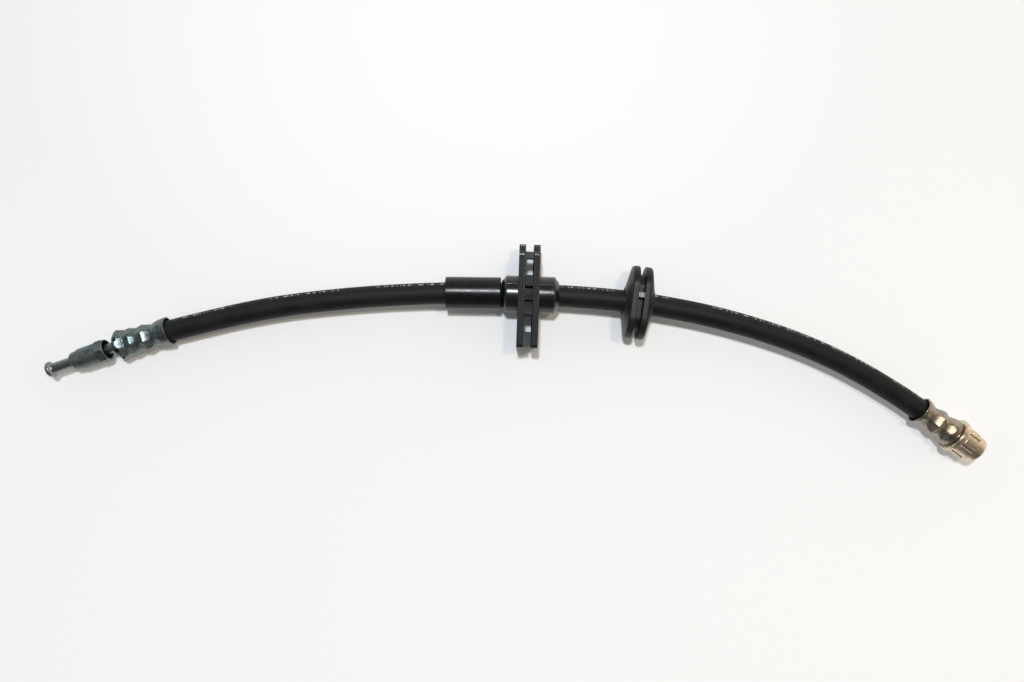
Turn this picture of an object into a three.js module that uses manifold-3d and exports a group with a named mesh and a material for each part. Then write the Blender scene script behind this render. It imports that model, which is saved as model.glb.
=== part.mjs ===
// Brake hose for a car: a rubber hose with a steel tube end and a female end crimped on,
// carrying a protective sleeve, a moulded bracket clip and a grommet.
// Millimetres, +Z up. It lies on the plane z = 0, and the origin is the centre of its footprint.

import * as THREE from "three";
import { mergeVertices } from "three/addons/utils/BufferGeometryUtils.js";
import Module from "manifold-3d";

const wasm = await Module();
wasm.setup();

// Fits and cutters
const fitClearance = 0.3;
const cutterOvershoot = 1;

// Hose
const hoseDiameter = 10.5;
const hoseBoreDiameter = 3.4;
const hoseCrimpedDiameter = 9;
const hoseSides = 12;
const hoseStepLength = 21;

// The hose's centre line, from its end inside the left ferrule to its end inside the right one.
// The first three and the last three points lie on the axes of the ferrules.
const hoseRoute = [
  [-187.2, 6.0, 7.4],
  [-179.9, 8.1, 7.4],
  [-168.3, 11.3, 7.4],
  [-153.5, 15.0, 7.5],
  [-135.9, 19.1, 7.6],
  [-118.4, 22.5, 7.8],
  [-100.8, 25.0, 8.1],
  [-83.3, 26.8, 8.5],
  [-65.7, 28.2, 8.9],
  [-48.2, 29.1, 9.3],
  [-34.6, 29.5, 9.6],
  [-20.6, 29.5, 9.6],
  [-6.5, 29.2, 9.6],
  [7.0, 28.8, 9.6],
  [21.5, 28.2, 9.7],
  [34.1, 27.4, 9.9],
  [46.6, 26.3, 10.2],
  [60.1, 24.7, 10.5],
  [73.6, 22.5, 10.4],
  [89.1, 19.5, 10.2],
  [104.6, 15.7, 10.0],
  [120.2, 11.1, 9.7],
  [135.7, 5.7, 9.4],
  [151.4, -0.9, 9.1],
  [167.0, -8.8, 8.9],
  [179.6, -16.2, 8.7],
  [189.4, -22.4, 8.6],
  [196.4, -27.4, 8.6],
  [203.9, -32.9, 8.6],
  [208.7, -36.4, 8.6],
];

// Crimped ferrules: both are measured outward from the mouth that the hose goes into
const ferruleBellRadius = 6.9;
const ferruleBellEndRadius = 6.45;
const ferruleBulgeRadius = 6.75;
const ferruleThroatRadius = 5.5;
const ferruleWaistRadius = 5.8;
const ferruleMouthDepth = 3.3;
const ferruleMouthFlare = 0.6;
const ferruleBoreStep = 0.8;
const ferruleEndWall = 1.4;
const ferruleSegments = 32;
const ferruleOutlinePoints = 24;

// Crimps: bands of flats, each [distance from the mouth, distance of its flats from the axis]
const crimpFlats = 8;
const crimpHalfWidth = 2.4;
const crimpRise = 0.35;
const leftCrimps = [[7.9, 5.5], [14.4, 5.8], [20, 6.2]];
const rightCrimps = [[5.8, 5.45], [12.7, 5.8]];

const leftFerruleLength = 26.4;
const leftBellEndAt = 4.3;
const leftThroatAt = 7.5;
const leftOuterBulgeAt = 11.1;
const leftWaistAt = 15;
const leftInnerBulgeAt = 18.2;
const leftCollarGrooveAt = 20.6;
const leftCollarGrooveRadius = 6.3;
const leftCollarLength = 5.3;
const leftCollarRadius = 7.3;
const leftCollarConeLength = 1.6;
const leftCollarConeDepth = 1.7;
const leftCollarNotches = 8;
const leftCollarNotchLength = 3;
const leftCollarNotchTurn = 20;
const leftCollarNotchWidth = 1.6;
const leftCollarNotchDepth = 0.8;

const rightFerruleLength = 19.7;
const rightBellEndAt = 2.2;
const rightThroatAt = 5.5;
const rightOuterBulgeAt = 9.7;
const rightWaistAt = 12.7;
const rightInnerBulgeAt = 15.9;
const rightShoulderRadius = 6.8;

// Steel tube end with its flare
const tubeDiameter = 5.2;
const tubeBoreDiameter = 2.2;
const tubeLengthPastFerrule = 35.8;
const tubeBendAngle = 3.5;
const flareDiameter = 7.7;
const flareThickness = 2.4;
const flareFillet = 1;
const flareEdgeChamfer = 0.8;
const flareSeatDepth = 0.9;
const flareSeatDiameter = 5.1;
const tubeShoulderDiameter = 8.8;
const tubeShoulderLength = 4.6;
const nippleDiameter = 2.8;
const nippleBoreDiameter = 1.6;
const nippleLength = 18;
const nippleBarbs = 4;
const nippleBarbPitch = 4;
const nippleBarbDepth = 0.2;
const nippleTipWall = 0.2;

// Tube nut, loose on the tube
const nutGapToFerrule = 5.2;
const nutLength = 17.6;
const nutHexLength = 4.6;
const nutHexAcrossFlats = 10;
const nutHexChamfer = 0.6;
const nutThreadDiameter = 10;
const nutThreadChamfer = 0.8;
const nutPilotDiameter = 8.7;
const nutPilotLength = 3.1;
const nutPilotChamfer = 0.9;
const nutHexBoreDiameter = 8.8;
const nutHexBoreDepth = 5.5;
const nutHexBoreCone = 1;

// Female end
const endRingDiameter = 17.1;
const endRingThickness = 2.2;
const endRingChamfer = 0.5;
const endNeckDiameter = 7.4;
const endShoulderDiameter = 9.2;
const endShoulderLength = 1.7;
const endWaistDiameter = 13.2;
const endWaistLength = 0.8;
const noseLength = 11.2;
const noseDiameter = 13.7;
const noseEndDiameter = 13.3;
const nosePadDiameter = 14.7;
const nosePads = 8;
const nosePadStart = 0.4;
const nosePadLength = 6;
const nosePadShare = 0.72;
const nosePadSlope = 0.3;
const noseTipDiameter = 10.8;
const noseTipRounding = 1.5;
const noseBoreDiameter = 9;
const noseBoreDepth = 8.6;
const noseBoreChamfer = 0.4;
const noseSeatDiameter = 7.8;
const noseSeatCone = 2;
const noseSegments = 48;

// Protective sleeve
const sleeveDiameter = 15.7;
const sleeveLength = 26.6;
const sleeveEdgeRadius = 0.5;

// Bracket clip: a hub on the hose and a flange of two parallel plates joined by webs
const clipAlongHose = 196.6;
const hubDiameter = 17.8;
const hubLength = 27.6;
const hubEndDiameter = 12.2;
const hubEndChamfer = 2.2;
const plateThickness = 3.2;
const plateGap = 3.8;
const plateShift = -0.8;
const plateHalfHeight = 9.6;
const plateReachUp = 19.8;
const plateReachDown = 25.8;
const plateEdgeChamfer = 0.5;
const plateCorner = 1;
const prongLength = 4;
const prongHalfHeight = 4.5;
const webTop = 8.4;
const webThickness = 3.2;
const upperWebLength = 3.8;
const lowerWebLength = 7.7;
const webNotchDepth = 1.1;
const webSlotWidth = 1.2;
const webSlotDepth = 2.6;
const webSlotShift = 0.8;
const lowerWebInset = 0.5;
const coreReachUp = 8.8;
const coreReachDown = 10.2;
const coreHalfHeight = 8.7;
const coreSlotAt = -2.8;
const coreSlotWidth = 1.4;
const coreSlotDepth = 2;
const coreRecessAt = 4.5;
const coreRecessWidth = 2.8;
const coreRecessDepth = 1.2;
const coreRibBands = [[-8.4, -3.8], [7.1, 9.9]];
const coreRibs = 3;
const coreRibPitch = 1.2;
const coreRibWidth = 0.6;
const coreRibHeight = 0.5;

// Grommet: two lips with a groove between them
const grommetAlongHose = 248.7;
const grommetLength = 35.2;
const grommetHeight = 20.8;
const grommetLipThickness = 3.1;
const grommetGrooveWidth = 2.8;
const grommetGrooveDepth = 4;
const grommetConeLength = 2.6;
const grommetMouthWidth = 13;
const grommetMouthHeight = 12.4;
const grommetEdgeRadius = 0.7;
const grommetBridgeAt = -3.2;
const grommetBridgeWidth = 2.3;
const grommetPocketAt = -0.5;
const grommetPocketWidth = 1.9;
const grommetPocketDepth = 1.6;
const grommetBridgeInset = 1;

// Round pieces and joins between pieces of one solid
const roundSegments = 48;
const smallSegments = 32;
const nippleSegments = 16;
const joinOverlap = 1;

const hoseRadius = hoseDiameter / 2;
const snugRadius = hoseRadius + fitClearance;
const crimpedRadius = hoseCrimpedDiameter / 2;

// A profile of [radius, distance along the axis] pairs turned about +Y
function turned(profile, segments = roundSegments) {
  const points = profile.map(([radius, along]) => new THREE.Vector2(radius, along));
  return solidOf(new THREE.LatheGeometry(points, segments));
}

// A plain round bar on +Y, used as a piece or as a cutter
function bar(radius, from, to) {
  return turned([[0, from], [radius, from], [radius, to], [0, to]]);
}

// A shape in the X-Z plane pushed along +Y from one distance to another, its edges chamfered
function pushed(shape, from, to, chamfer = 0) {
  const geometry = new THREE.ExtrudeGeometry(shape, {
    depth: to - from - 2 * chamfer,
    bevelEnabled: chamfer > 0,
    bevelThickness: chamfer,
    bevelSize: chamfer,
    bevelOffset: -chamfer,
    bevelSegments: 1,
    curveSegments: 6,
  });
  geometry.rotateX(Math.PI / 2);
  geometry.translate(0, to - chamfer, 0);
  return solidOf(geometry);
}

// A box between two corners
function block(low, high) {
  const geometry = new THREE.BoxGeometry(high[0] - low[0], high[1] - low[1], high[2] - low[2]);
  geometry.translate((low[0] + high[0]) / 2, (low[1] + high[1]) / 2, (low[2] + high[2]) / 2);
  return solidOf(geometry);
}

// Six times the volume inside a triangle mesh, negative when its faces point inward
function signedVolume(position, index) {
  const a = new THREE.Vector3();
  const b = new THREE.Vector3();
  const c = new THREE.Vector3();
  let sum = 0;
  for (let i = 0; i < index.length; i += 3) {
    a.fromArray(position, 3 * index[i]);
    b.fromArray(position, 3 * index[i + 1]);
    c.fromArray(position, 3 * index[i + 2]);
    sum += a.dot(b.cross(c));
  }
  return sum;
}

// A closed geometry as a solid for joins and cuts
function solidOf(geometry) {
  geometry.deleteAttribute("normal");
  geometry.deleteAttribute("uv");
  const merged = mergeVertices(geometry, 1e-4);
  const position = merged.getAttribute("position").array;
  const index = merged.getIndex().array;
  const inward = signedVolume(position, index) < 0;
  const triangles = [];
  for (let i = 0; i < index.length; i += 3) {
    const [a, b, c] = index.subarray(i, i + 3);
    if (a !== b && b !== c && c !== a) {
      triangles.push(...(inward ? [a, c, b] : [a, b, c]));
    }
  }
  const mesh = new wasm.Mesh({
    numProp: 3,
    vertProperties: new Float32Array(position),
    triVerts: new Uint32Array(triangles),
  });
  return new wasm.Manifold(mesh);
}

function geometryOf(solid) {
  const mesh = solid.getMesh();
  const geometry = new THREE.BufferGeometry();
  geometry.setAttribute("position", new THREE.BufferAttribute(mesh.vertProperties, 3));
  geometry.setIndex(new THREE.BufferAttribute(mesh.triVerts, 1));
  geometry.computeVertexNormals();
  return geometry;
}

function joined(solids) {
  return solids.reduce((whole, solid) => whole.add(solid));
}

function cutBy(solid, cutters) {
  return cutters.reduce((rest, cutter) => rest.subtract(cutter), solid);
}

// Moves each point of a turned solid in or out: the rule gives its new radius
function reshaped(profile, segments, radiusRule) {
  const points = profile.map(([radius, along]) => new THREE.Vector2(radius, along));
  const geometry = new THREE.LatheGeometry(points, segments);
  const position = geometry.getAttribute("position");
  for (let i = 0; i < position.count; i += 1) {
    const radius = Math.hypot(position.getX(i), position.getZ(i));
    if (radius > fitClearance) {
      const angle = Math.atan2(position.getZ(i), position.getX(i));
      const scale = radiusRule(angle, position.getY(i), radius) / radius;
      position.setX(i, position.getX(i) * scale);
      position.setZ(i, position.getZ(i) * scale);
    }
  }
  return solidOf(geometry);
}

// A smooth ferrule outline through [radius, along] knots
function smooth(knots) {
  const curve = new THREE.SplineCurve(knots.map(([radius, along]) => new THREE.Vector2(radius, along)));
  return curve.getPoints(ferruleOutlinePoints).map((point) => [point.x, point.y]);
}

function meshOf(name, solid, material) {
  const mesh = new THREE.Mesh(geometryOf(solid), material);
  mesh.name = name;
  return mesh;
}

function material(color, roughness, metalness) {
  return new THREE.MeshStandardMaterial({ color, roughness, metalness });
}

// A group whose +Y axis runs from a point along a direction, with its Z axis toward the top
function seat(point, direction) {
  const along = direction.clone().normalize();
  const across = new THREE.Vector3().crossVectors(along, new THREE.Vector3(0, 0, 1)).normalize();
  const top = new THREE.Vector3().crossVectors(across, along);
  const group = new THREE.Group();
  group.position.copy(point);
  group.quaternion.setFromRotationMatrix(new THREE.Matrix4().makeBasis(across, along, top));
  group.updateMatrixWorld(true);
  return group;
}

const hoseLine = new THREE.CatmullRomCurve3(
  hoseRoute.map(([x, y, z]) => new THREE.Vector3(x, y, z)),
  false,
  "centripetal",
);
hoseLine.arcLengthDivisions = 600;
const hoseLength = hoseLine.getLength();

// How far the hose goes into each ferrule, up to the shoulder that the end wall holds
const leftInsertion = leftFerruleLength - ferruleEndWall - tubeShoulderLength - 2 * fitClearance;
const rightInsertion = rightFerruleLength - ferruleEndWall - endShoulderLength - 2 * fitClearance;

function seatOnHose(distance) {
  const share = distance / hoseLength;
  return seat(hoseLine.getPointAt(share), hoseLine.getTangentAt(share));
}

// Both end seats start at the mouth of the ferrule and point outward, away from the hose
function endSeat(share, insertion) {
  const outward = hoseLine.getTangentAt(share).multiplyScalar(share === 0 ? -1 : 1);
  const mouth = hoseLine.getPointAt(share).addScaledVector(outward, -insertion);
  return seat(mouth, outward);
}

const leftSeat = endSeat(0, leftInsertion);
const rightSeat = endSeat(1, rightInsertion);

// Hose: a round tube along its route, squeezed where the ferrules hold it
function makeHose() {
  const section = new THREE.Shape();
  section.absarc(0, 0, hoseRadius, 0, 2 * Math.PI);
  const bore = new THREE.Path();
  bore.absarc(0, 0, hoseBoreDiameter / 2, 0, 2 * Math.PI, true);
  section.holes.push(bore);
  const geometry = new THREE.ExtrudeGeometry(section, {
    steps: Math.round(hoseLength / hoseStepLength),
    curveSegments: hoseSides / 2,
    extrudePath: hoseLine,
  });
  const squeezes = [[leftSeat, leftInsertion], [rightSeat, rightInsertion]].map(([place, insertion]) => {
    const from = ferruleMouthDepth - fitClearance;
    const to = insertion + cutterOvershoot;
    const outside = hoseRadius + cutterOvershoot;
    const ring = turned([
      [crimpedRadius, from],
      [outside, from],
      [outside, to],
      [crimpedRadius, to],
      [crimpedRadius, from],
    ]);
    return ring.transform(place.matrixWorld.elements);
  });
  return meshOf("hose", cutBy(solidOf(geometry), squeezes), material("#1f1f20", 0.85, 0));
}

// The inside of a ferrule: a flared mouth, the crimped bore and a hole through the end wall
function ferruleBore(length, holeRadius) {
  const crimpedBore = crimpedRadius + fitClearance;
  const wallAt = length - ferruleEndWall;
  return turned([
    [0, -cutterOvershoot],
    [snugRadius + ferruleMouthFlare, -cutterOvershoot],
    [snugRadius + ferruleMouthFlare, 0],
    [snugRadius, ferruleMouthDepth - ferruleMouthFlare],
    [snugRadius, ferruleMouthDepth],
    [crimpedBore, ferruleMouthDepth + ferruleBoreStep],
    [crimpedBore, wallAt],
    [holeRadius, wallAt],
    [holeRadius, length + cutterOvershoot],
    [0, length + cutterOvershoot],
  ], ferruleSegments);
}

// Crimping presses flats round the shell at each band
function pressedFlats(bands) {
  const step = (2 * Math.PI) / crimpFlats;
  return (angle, along, radius) => {
    const offCentre = angle - step * Math.round(angle / step);
    let result = radius;
    for (const [at, apothem] of bands) {
      const reach = (along - at) / crimpHalfWidth;
      const limit = (apothem + crimpRise * reach * reach) / Math.cos(offCentre);
      if (Math.abs(reach) < 1) {
        result = Math.min(result, limit);
      }
    }
    return result;
  };
}

function makeLeftFerrule() {
  const collarAt = leftFerruleLength - leftCollarLength;
  const outline = [
    [0, 0],
    ...smooth([
      [ferruleBellRadius, 0],
      [ferruleBellEndRadius, leftBellEndAt],
      [ferruleThroatRadius, leftThroatAt],
      [ferruleBulgeRadius, leftOuterBulgeAt],
      [ferruleWaistRadius, leftWaistAt],
      [ferruleBulgeRadius, leftInnerBulgeAt],
      [leftCollarGrooveRadius, leftCollarGrooveAt],
    ]),
    [leftCollarRadius, collarAt],
    [leftCollarRadius, leftFerruleLength - leftCollarConeLength],
    [leftCollarRadius - leftCollarConeDepth, leftFerruleLength],
    [0, leftFerruleLength],
  ];
  const shell = reshaped(outline, ferruleSegments, pressedFlats(leftCrimps));
  const notchFrom = leftFerruleLength - leftCollarNotchLength;
  const notches = [];
  for (let i = 0; i < leftCollarNotches; i += 1) {
    const notch = block(
      [leftCollarRadius - leftCollarNotchDepth, notchFrom, -leftCollarNotchWidth / 2],
      [leftCollarRadius + cutterOvershoot, leftFerruleLength + cutterOvershoot, leftCollarNotchWidth / 2],
    );
    notches.push(notch.rotate([0, (360 * i) / leftCollarNotches + leftCollarNotchTurn, 0]));
  }
  const bore = ferruleBore(leftFerruleLength, tubeDiameter / 2 + fitClearance + tubeBendOffset);
  return meshOf("left_ferrule", cutBy(shell, [...notches, bore]), material("#8f9a9c", 0.3, 1));
}

function makeRightFerrule() {
  const outline = [
    [0, 0],
    ...smooth([
      [ferruleBellRadius, 0],
      [ferruleBellEndRadius, rightBellEndAt],
      [ferruleThroatRadius, rightThroatAt],
      [ferruleBulgeRadius, rightOuterBulgeAt],
      [ferruleWaistRadius, rightWaistAt],
      [ferruleBulgeRadius, rightInnerBulgeAt],
      [rightShoulderRadius, rightFerruleLength],
    ]),
    [0, rightFerruleLength],
  ];
  const bore = ferruleBore(rightFerruleLength, endNeckDiameter / 2 + fitClearance);
  const shell = reshaped(outline, ferruleSegments, pressedFlats(rightCrimps)).subtract(bore);
  return meshOf("right_ferrule", shell, material("#a89f86", 0.3, 1));
}

// A quarter-ellipse edge from a side at one distance to a face at another
function roundedTo(sideRadius, sideEnd, faceRadius, face) {
  const depth = sideRadius - faceRadius;
  const edge = new THREE.EllipseCurve(faceRadius, sideEnd, depth, face - sideEnd, 0, Math.PI / 2);
  return edge.getPoints(4).map((point) => [point.x, point.y]);
}

// The nipple in the hose's bore, its barbs holding against a pull, and its shoulder past the hose's end
function nipple(hoseEnd, shoulderRadius, shoulderEnd) {
  const start = hoseEnd - nippleLength;
  const radius = nippleDiameter / 2;
  const profile = [[0, start], [nippleBoreDiameter / 2 + nippleTipWall, start]];
  for (let i = 1; i <= nippleBarbs; i += 1) {
    const barbEnd = start + i * nippleBarbPitch;
    profile.push([radius, barbEnd - nippleBarbDepth], [radius - nippleBarbDepth, barbEnd]);
  }
  profile.push(
    [radius, hoseEnd + fitClearance],
    [shoulderRadius, hoseEnd + fitClearance],
    [shoulderRadius, shoulderEnd],
    [0, shoulderEnd],
  );
  return turned(profile, nippleSegments);
}

// The tube bends where it leaves the ferrule: past the bend, distances run from the end wall's middle
const tubeBendAt = leftFerruleLength - ferruleEndWall / 2;
const tubeBendOffset = (ferruleEndWall / 2) * Math.tan(THREE.MathUtils.degToRad(tubeBendAngle));
const bentSeat = new THREE.Group();
bentSeat.position.y = tubeBendAt;
bentSeat.rotation.z = THREE.MathUtils.degToRad(tubeBendAngle);
bentSeat.updateMatrix();

function makeTubeStub() {
  const shoulderEnd = leftInsertion + fitClearance + tubeShoulderLength;
  const start = shoulderEnd - joinOverlap - tubeBendAt;
  const tip = ferruleEndWall / 2 + tubeLengthPastFerrule;
  const tubeRadius = tubeDiameter / 2;
  const flareRadius = flareDiameter / 2;
  const flareFrom = tip - flareThickness;
  const tube = turned([
    [0, start],
    [tubeRadius, start],
    [tubeRadius, flareFrom - flareFillet / 2],
    [flareRadius, flareFrom + flareFillet / 2],
    [flareRadius, tip - flareEdgeChamfer],
    [flareRadius - flareEdgeChamfer, tip],
    [0, tip],
  ], smallSegments);
  const tubeBore = turned([
    [0, 0],
    [nippleBoreDiameter / 2, 0],
    [tubeBoreDiameter / 2, ferruleEndWall],
    [tubeBoreDiameter / 2, tip - flareSeatDepth],
    [flareSeatDiameter / 2, tip],
    [flareSeatDiameter / 2, tip + cutterOvershoot],
    [0, tip + cutterOvershoot],
  ], smallSegments);
  const nippleBore = bar(
    nippleBoreDiameter / 2,
    leftInsertion - nippleLength - cutterOvershoot,
    tubeBendAt + nippleBoreDiameter / 2,
  );
  const body = tube
    .transform(bentSeat.matrix.elements)
    .add(nipple(leftInsertion, tubeShoulderDiameter / 2, shoulderEnd))
    .subtract(nippleBore)
    .subtract(tubeBore.transform(bentSeat.matrix.elements));
  return meshOf("tube_stub", body, material("#6e7679", 0.35, 1));
}

// Hexagon shape in the X-Z plane with corners facing up and down
function hexagon(acrossFlats) {
  const corner = acrossFlats / Math.sqrt(3);
  const points = [];
  for (let i = 0; i < 6; i += 1) {
    const angle = Math.PI / 6 + (i * Math.PI) / 3;
    points.push(new THREE.Vector2(corner * Math.cos(angle), corner * Math.sin(angle)));
  }
  return new THREE.Shape(points);
}

function makeTubeNut() {
  const from = ferruleEndWall / 2 + nutGapToFerrule;
  const to = from + nutLength;
  const hexTo = from + nutHexLength;
  const threadRadius = nutThreadDiameter / 2;
  const hexInner = nutHexAcrossFlats / 2;
  const hexCorner = nutHexAcrossFlats / Math.sqrt(3) + joinOverlap / 10;
  const hexTurned = turned([
    [0, from],
    [hexInner, from],
    [hexCorner, from + nutHexChamfer],
    [hexCorner, hexTo - nutHexChamfer],
    [hexInner, hexTo],
    [0, hexTo],
  ]);
  const hex = pushed(hexagon(nutHexAcrossFlats), from, hexTo).intersect(hexTurned);
  const shank = turned([
    [0, hexTo - joinOverlap],
    [threadRadius, hexTo - joinOverlap],
    [threadRadius, to - nutPilotLength - nutThreadChamfer],
    [threadRadius - nutThreadChamfer, to - nutPilotLength],
    [nutPilotDiameter / 2, to - nutPilotLength],
    [nutPilotDiameter / 2, to - nutPilotChamfer],
    [nutPilotDiameter / 2 - nutPilotChamfer / 2, to],
    [0, to],
  ], smallSegments);
  const bore = turned([
    [0, from - cutterOvershoot],
    [nutHexBoreDiameter / 2, from - cutterOvershoot],
    [nutHexBoreDiameter / 2, from + nutHexBoreDepth - nutHexBoreCone],
    [tubeDiameter / 2 + fitClearance, from + nutHexBoreDepth],
    [tubeDiameter / 2 + fitClearance, to + cutterOvershoot],
    [0, to + cutterOvershoot],
  ], smallSegments);
  return meshOf("tube_nut", hex.add(shank).subtract(bore), material("#4d5757", 0.45, 1));
}

function makeFemaleEnd() {
  const ringAt = rightFerruleLength + fitClearance;
  const waistAt = ringAt + endRingThickness;
  const noseAt = waistAt + endWaistLength;
  const tip = noseAt + noseLength;
  const ringRadius = endRingDiameter / 2;
  const noseRadius = noseDiameter / 2;
  const padRadius = nosePadDiameter / 2;
  const padFrom = noseAt + nosePadStart;
  const padTo = padFrom + nosePadLength;
  const shoulderEnd = rightInsertion + fitClearance + endShoulderLength;
  const outline = [
    [0, shoulderEnd - joinOverlap],
    [endNeckDiameter / 2, shoulderEnd - joinOverlap],
    [endNeckDiameter / 2, ringAt],
    [ringRadius - endRingChamfer, ringAt],
    [ringRadius, ringAt + endRingChamfer],
    [ringRadius, waistAt - endRingChamfer],
    [ringRadius - endRingChamfer, waistAt],
    [endWaistDiameter / 2, waistAt],
    [endWaistDiameter / 2, noseAt],
    [noseRadius, noseAt],
    [padRadius, padFrom],
    [padRadius, padTo],
    [noseRadius, padTo + nosePadSlope],
    ...roundedTo(noseEndDiameter / 2, tip - noseTipRounding, noseTipDiameter / 2, tip),
    [0, tip],
  ];
  const step = (2 * Math.PI) / nosePads;
  const padHalfAngle = (step * nosePadShare) / 2;
  const betweenPads = (angle, along, radius) => {
    const offCentre = Math.abs(angle - step * Math.round(angle / step));
    return radius > noseRadius && along > noseAt && offCentre > padHalfAngle ? noseRadius : radius;
  };
  const boreFrom = tip - noseBoreDepth;
  const bore = turned([
    [0, rightInsertion - nippleLength - cutterOvershoot],
    [nippleBoreDiameter / 2, rightInsertion - nippleLength - cutterOvershoot],
    [nippleBoreDiameter / 2, boreFrom - noseSeatCone],
    [noseSeatDiameter / 2, boreFrom],
    [noseBoreDiameter / 2, boreFrom],
    [noseBoreDiameter / 2, tip - noseBoreChamfer],
    [noseBoreDiameter / 2 + noseBoreChamfer, tip],
    [noseBoreDiameter / 2 + noseBoreChamfer, tip + cutterOvershoot],
    [0, tip + cutterOvershoot],
  ], smallSegments);
  const body = reshaped(outline, noseSegments, betweenPads)
    .add(nipple(rightInsertion, endShoulderDiameter / 2, shoulderEnd))
    .subtract(bore);
  return meshOf("female_end", body, material("#a39a72", 0.28, 1));
}

// The sleeve ends against the clip's hub
function makeSleeve() {
  const radius = sleeveDiameter / 2;
  const half = sleeveLength / 2;
  const edge = sleeveEdgeRadius;
  const profile = [
    [snugRadius, -half],
    [radius - edge, -half],
    [radius, -half + edge],
    [radius, half - edge],
    [radius - edge, half],
    [snugRadius, half],
    [snugRadius, -half],
  ];
  return meshOf("protective_sleeve", turned(profile), material("#19191a", 0.35, 0));
}

// Outline of one flange plate across the hose: full height with a narrower prong at its upper end
function plateShape() {
  const corner = plateCorner;
  const shape = new THREE.Shape();
  shape.moveTo(-plateReachUp - prongLength, -prongHalfHeight);
  shape.lineTo(-plateReachUp, -prongHalfHeight);
  shape.lineTo(-plateReachUp, -plateHalfHeight + corner);
  shape.lineTo(-plateReachUp + corner, -plateHalfHeight);
  shape.lineTo(plateReachDown - corner, -plateHalfHeight);
  shape.lineTo(plateReachDown, -plateHalfHeight + corner);
  shape.lineTo(plateReachDown, plateHalfHeight - corner);
  shape.lineTo(plateReachDown - corner, plateHalfHeight);
  shape.lineTo(-plateReachUp + corner, plateHalfHeight);
  shape.lineTo(-plateReachUp, plateHalfHeight - corner);
  shape.lineTo(-plateReachUp, prongHalfHeight);
  shape.lineTo(-plateReachUp - prongLength, prongHalfHeight);
  shape.closePath();
  return shape;
}

function makeBracketClip() {
  const hubRadius = hubDiameter / 2;
  const hubHalf = hubLength / 2;
  const inner = plateGap / 2;
  const outer = inner + plateThickness;
  const hub = turned([
    [0, -hubHalf],
    [hubEndDiameter / 2, -hubHalf],
    [hubRadius, -hubHalf + hubEndChamfer],
    [hubRadius, hubHalf - hubEndChamfer],
    [hubEndDiameter / 2, hubHalf],
    [0, hubHalf],
  ]);
  const plates = [
    pushed(plateShape(), plateShift - outer, plateShift - inner, plateEdgeChamfer),
    pushed(plateShape(), plateShift + inner, plateShift + outer, plateEdgeChamfer),
  ];
  const webLow = plateShift - inner - plateEdgeChamfer;
  const webHigh = plateShift + inner + plateEdgeChamfer;
  const upperWebEnd = -plateReachUp + upperWebLength;
  const lowerWebStart = plateReachDown - lowerWebLength;
  const lowerWebEnd = plateReachDown - lowerWebInset;
  const slotLow = plateShift + webSlotShift - webSlotWidth / 2;
  const webs = [
    block([-plateReachUp, webLow, webTop - webThickness], [upperWebEnd, webHigh, webTop]),
    block([lowerWebStart, webLow, webTop - webThickness], [lowerWebEnd, webHigh, webTop]),
  ];
  const core = block(
    [-coreReachUp, webLow, -coreHalfHeight],
    [coreReachDown, webHigh, coreHalfHeight],
  );
  const ribs = [];
  for (const [from, to] of coreRibBands) {
    for (let i = 0; i < coreRibs; i += 1) {
      const middle = plateShift + (i - (coreRibs - 1) / 2) * coreRibPitch;
      ribs.push(block(
        [from, middle - coreRibWidth / 2, coreHalfHeight - joinOverlap],
        [to, middle + coreRibWidth / 2, coreHalfHeight + coreRibHeight],
      ));
    }
  }
  const cutIntoCore = (at, width, depth) => block(
    [at - width / 2, plateShift - inner, coreHalfHeight - depth],
    [at + width / 2, plateShift + inner, plateHalfHeight],
  );
  const through = plateHalfHeight + cutterOvershoot;
  const notch = new THREE.Shape([
    new THREE.Vector2(upperWebEnd, -plateShift - inner),
    new THREE.Vector2(upperWebEnd, -plateShift + inner),
    new THREE.Vector2(upperWebEnd - webNotchDepth, -plateShift),
  ]);
  const cutters = [
    bar(snugRadius, -hubHalf - cutterOvershoot, hubHalf + cutterOvershoot),
    block(
      [plateReachDown - webSlotDepth, slotLow, -through],
      [plateReachDown + cutterOvershoot, slotLow + webSlotWidth, through],
    ),
    cutIntoCore(coreSlotAt, coreSlotWidth, coreSlotDepth),
    cutIntoCore(coreRecessAt, coreRecessWidth, coreRecessDepth),
    pushed(notch, -through, through).rotate([90, 0, 0]),
  ];
  const body = cutBy(joined([hub, core, ...plates, ...webs, ...ribs]), cutters);
  return meshOf("bracket_clip", body, material("#17191a", 0.4, 0));
}

// A stadium outline round the hose: two half circles joined by straight sides
function stadium(width, height, along) {
  const radius = height / 2;
  const shift = width / 2 - radius;
  const half = roundSegments / 2;
  const points = [];
  for (let i = 0; i <= half; i += 1) {
    const angle = -Math.PI / 2 + (i * Math.PI) / half;
    points.push(new THREE.Vector3(shift + radius * Math.cos(angle), along, radius * Math.sin(angle)));
  }
  for (let i = 0; i <= half; i += 1) {
    const angle = Math.PI / 2 + (i * Math.PI) / half;
    points.push(new THREE.Vector3(-shift + radius * Math.cos(angle), along, radius * Math.sin(angle)));
  }
  return points;
}

// A closed solid through outlines that all have the same number of points
function lofted(outlines) {
  const count = outlines[0].length;
  const last = outlines.length - 1;
  const points = outlines.flat();
  const index = [];
  for (let ring = 0; ring < last; ring += 1) {
    for (let i = 0; i < count; i += 1) {
      const a = ring * count + i;
      const b = ring * count + ((i + 1) % count);
      index.push(a, b, b + count, a, b + count, a + count);
    }
  }
  for (let i = 1; i < count - 1; i += 1) {
    index.push(0, i + 1, i);
    index.push(last * count, last * count + i, last * count + i + 1);
  }
  const geometry = new THREE.BufferGeometry().setFromPoints(points);
  geometry.setIndex(index);
  return solidOf(geometry);
}

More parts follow.
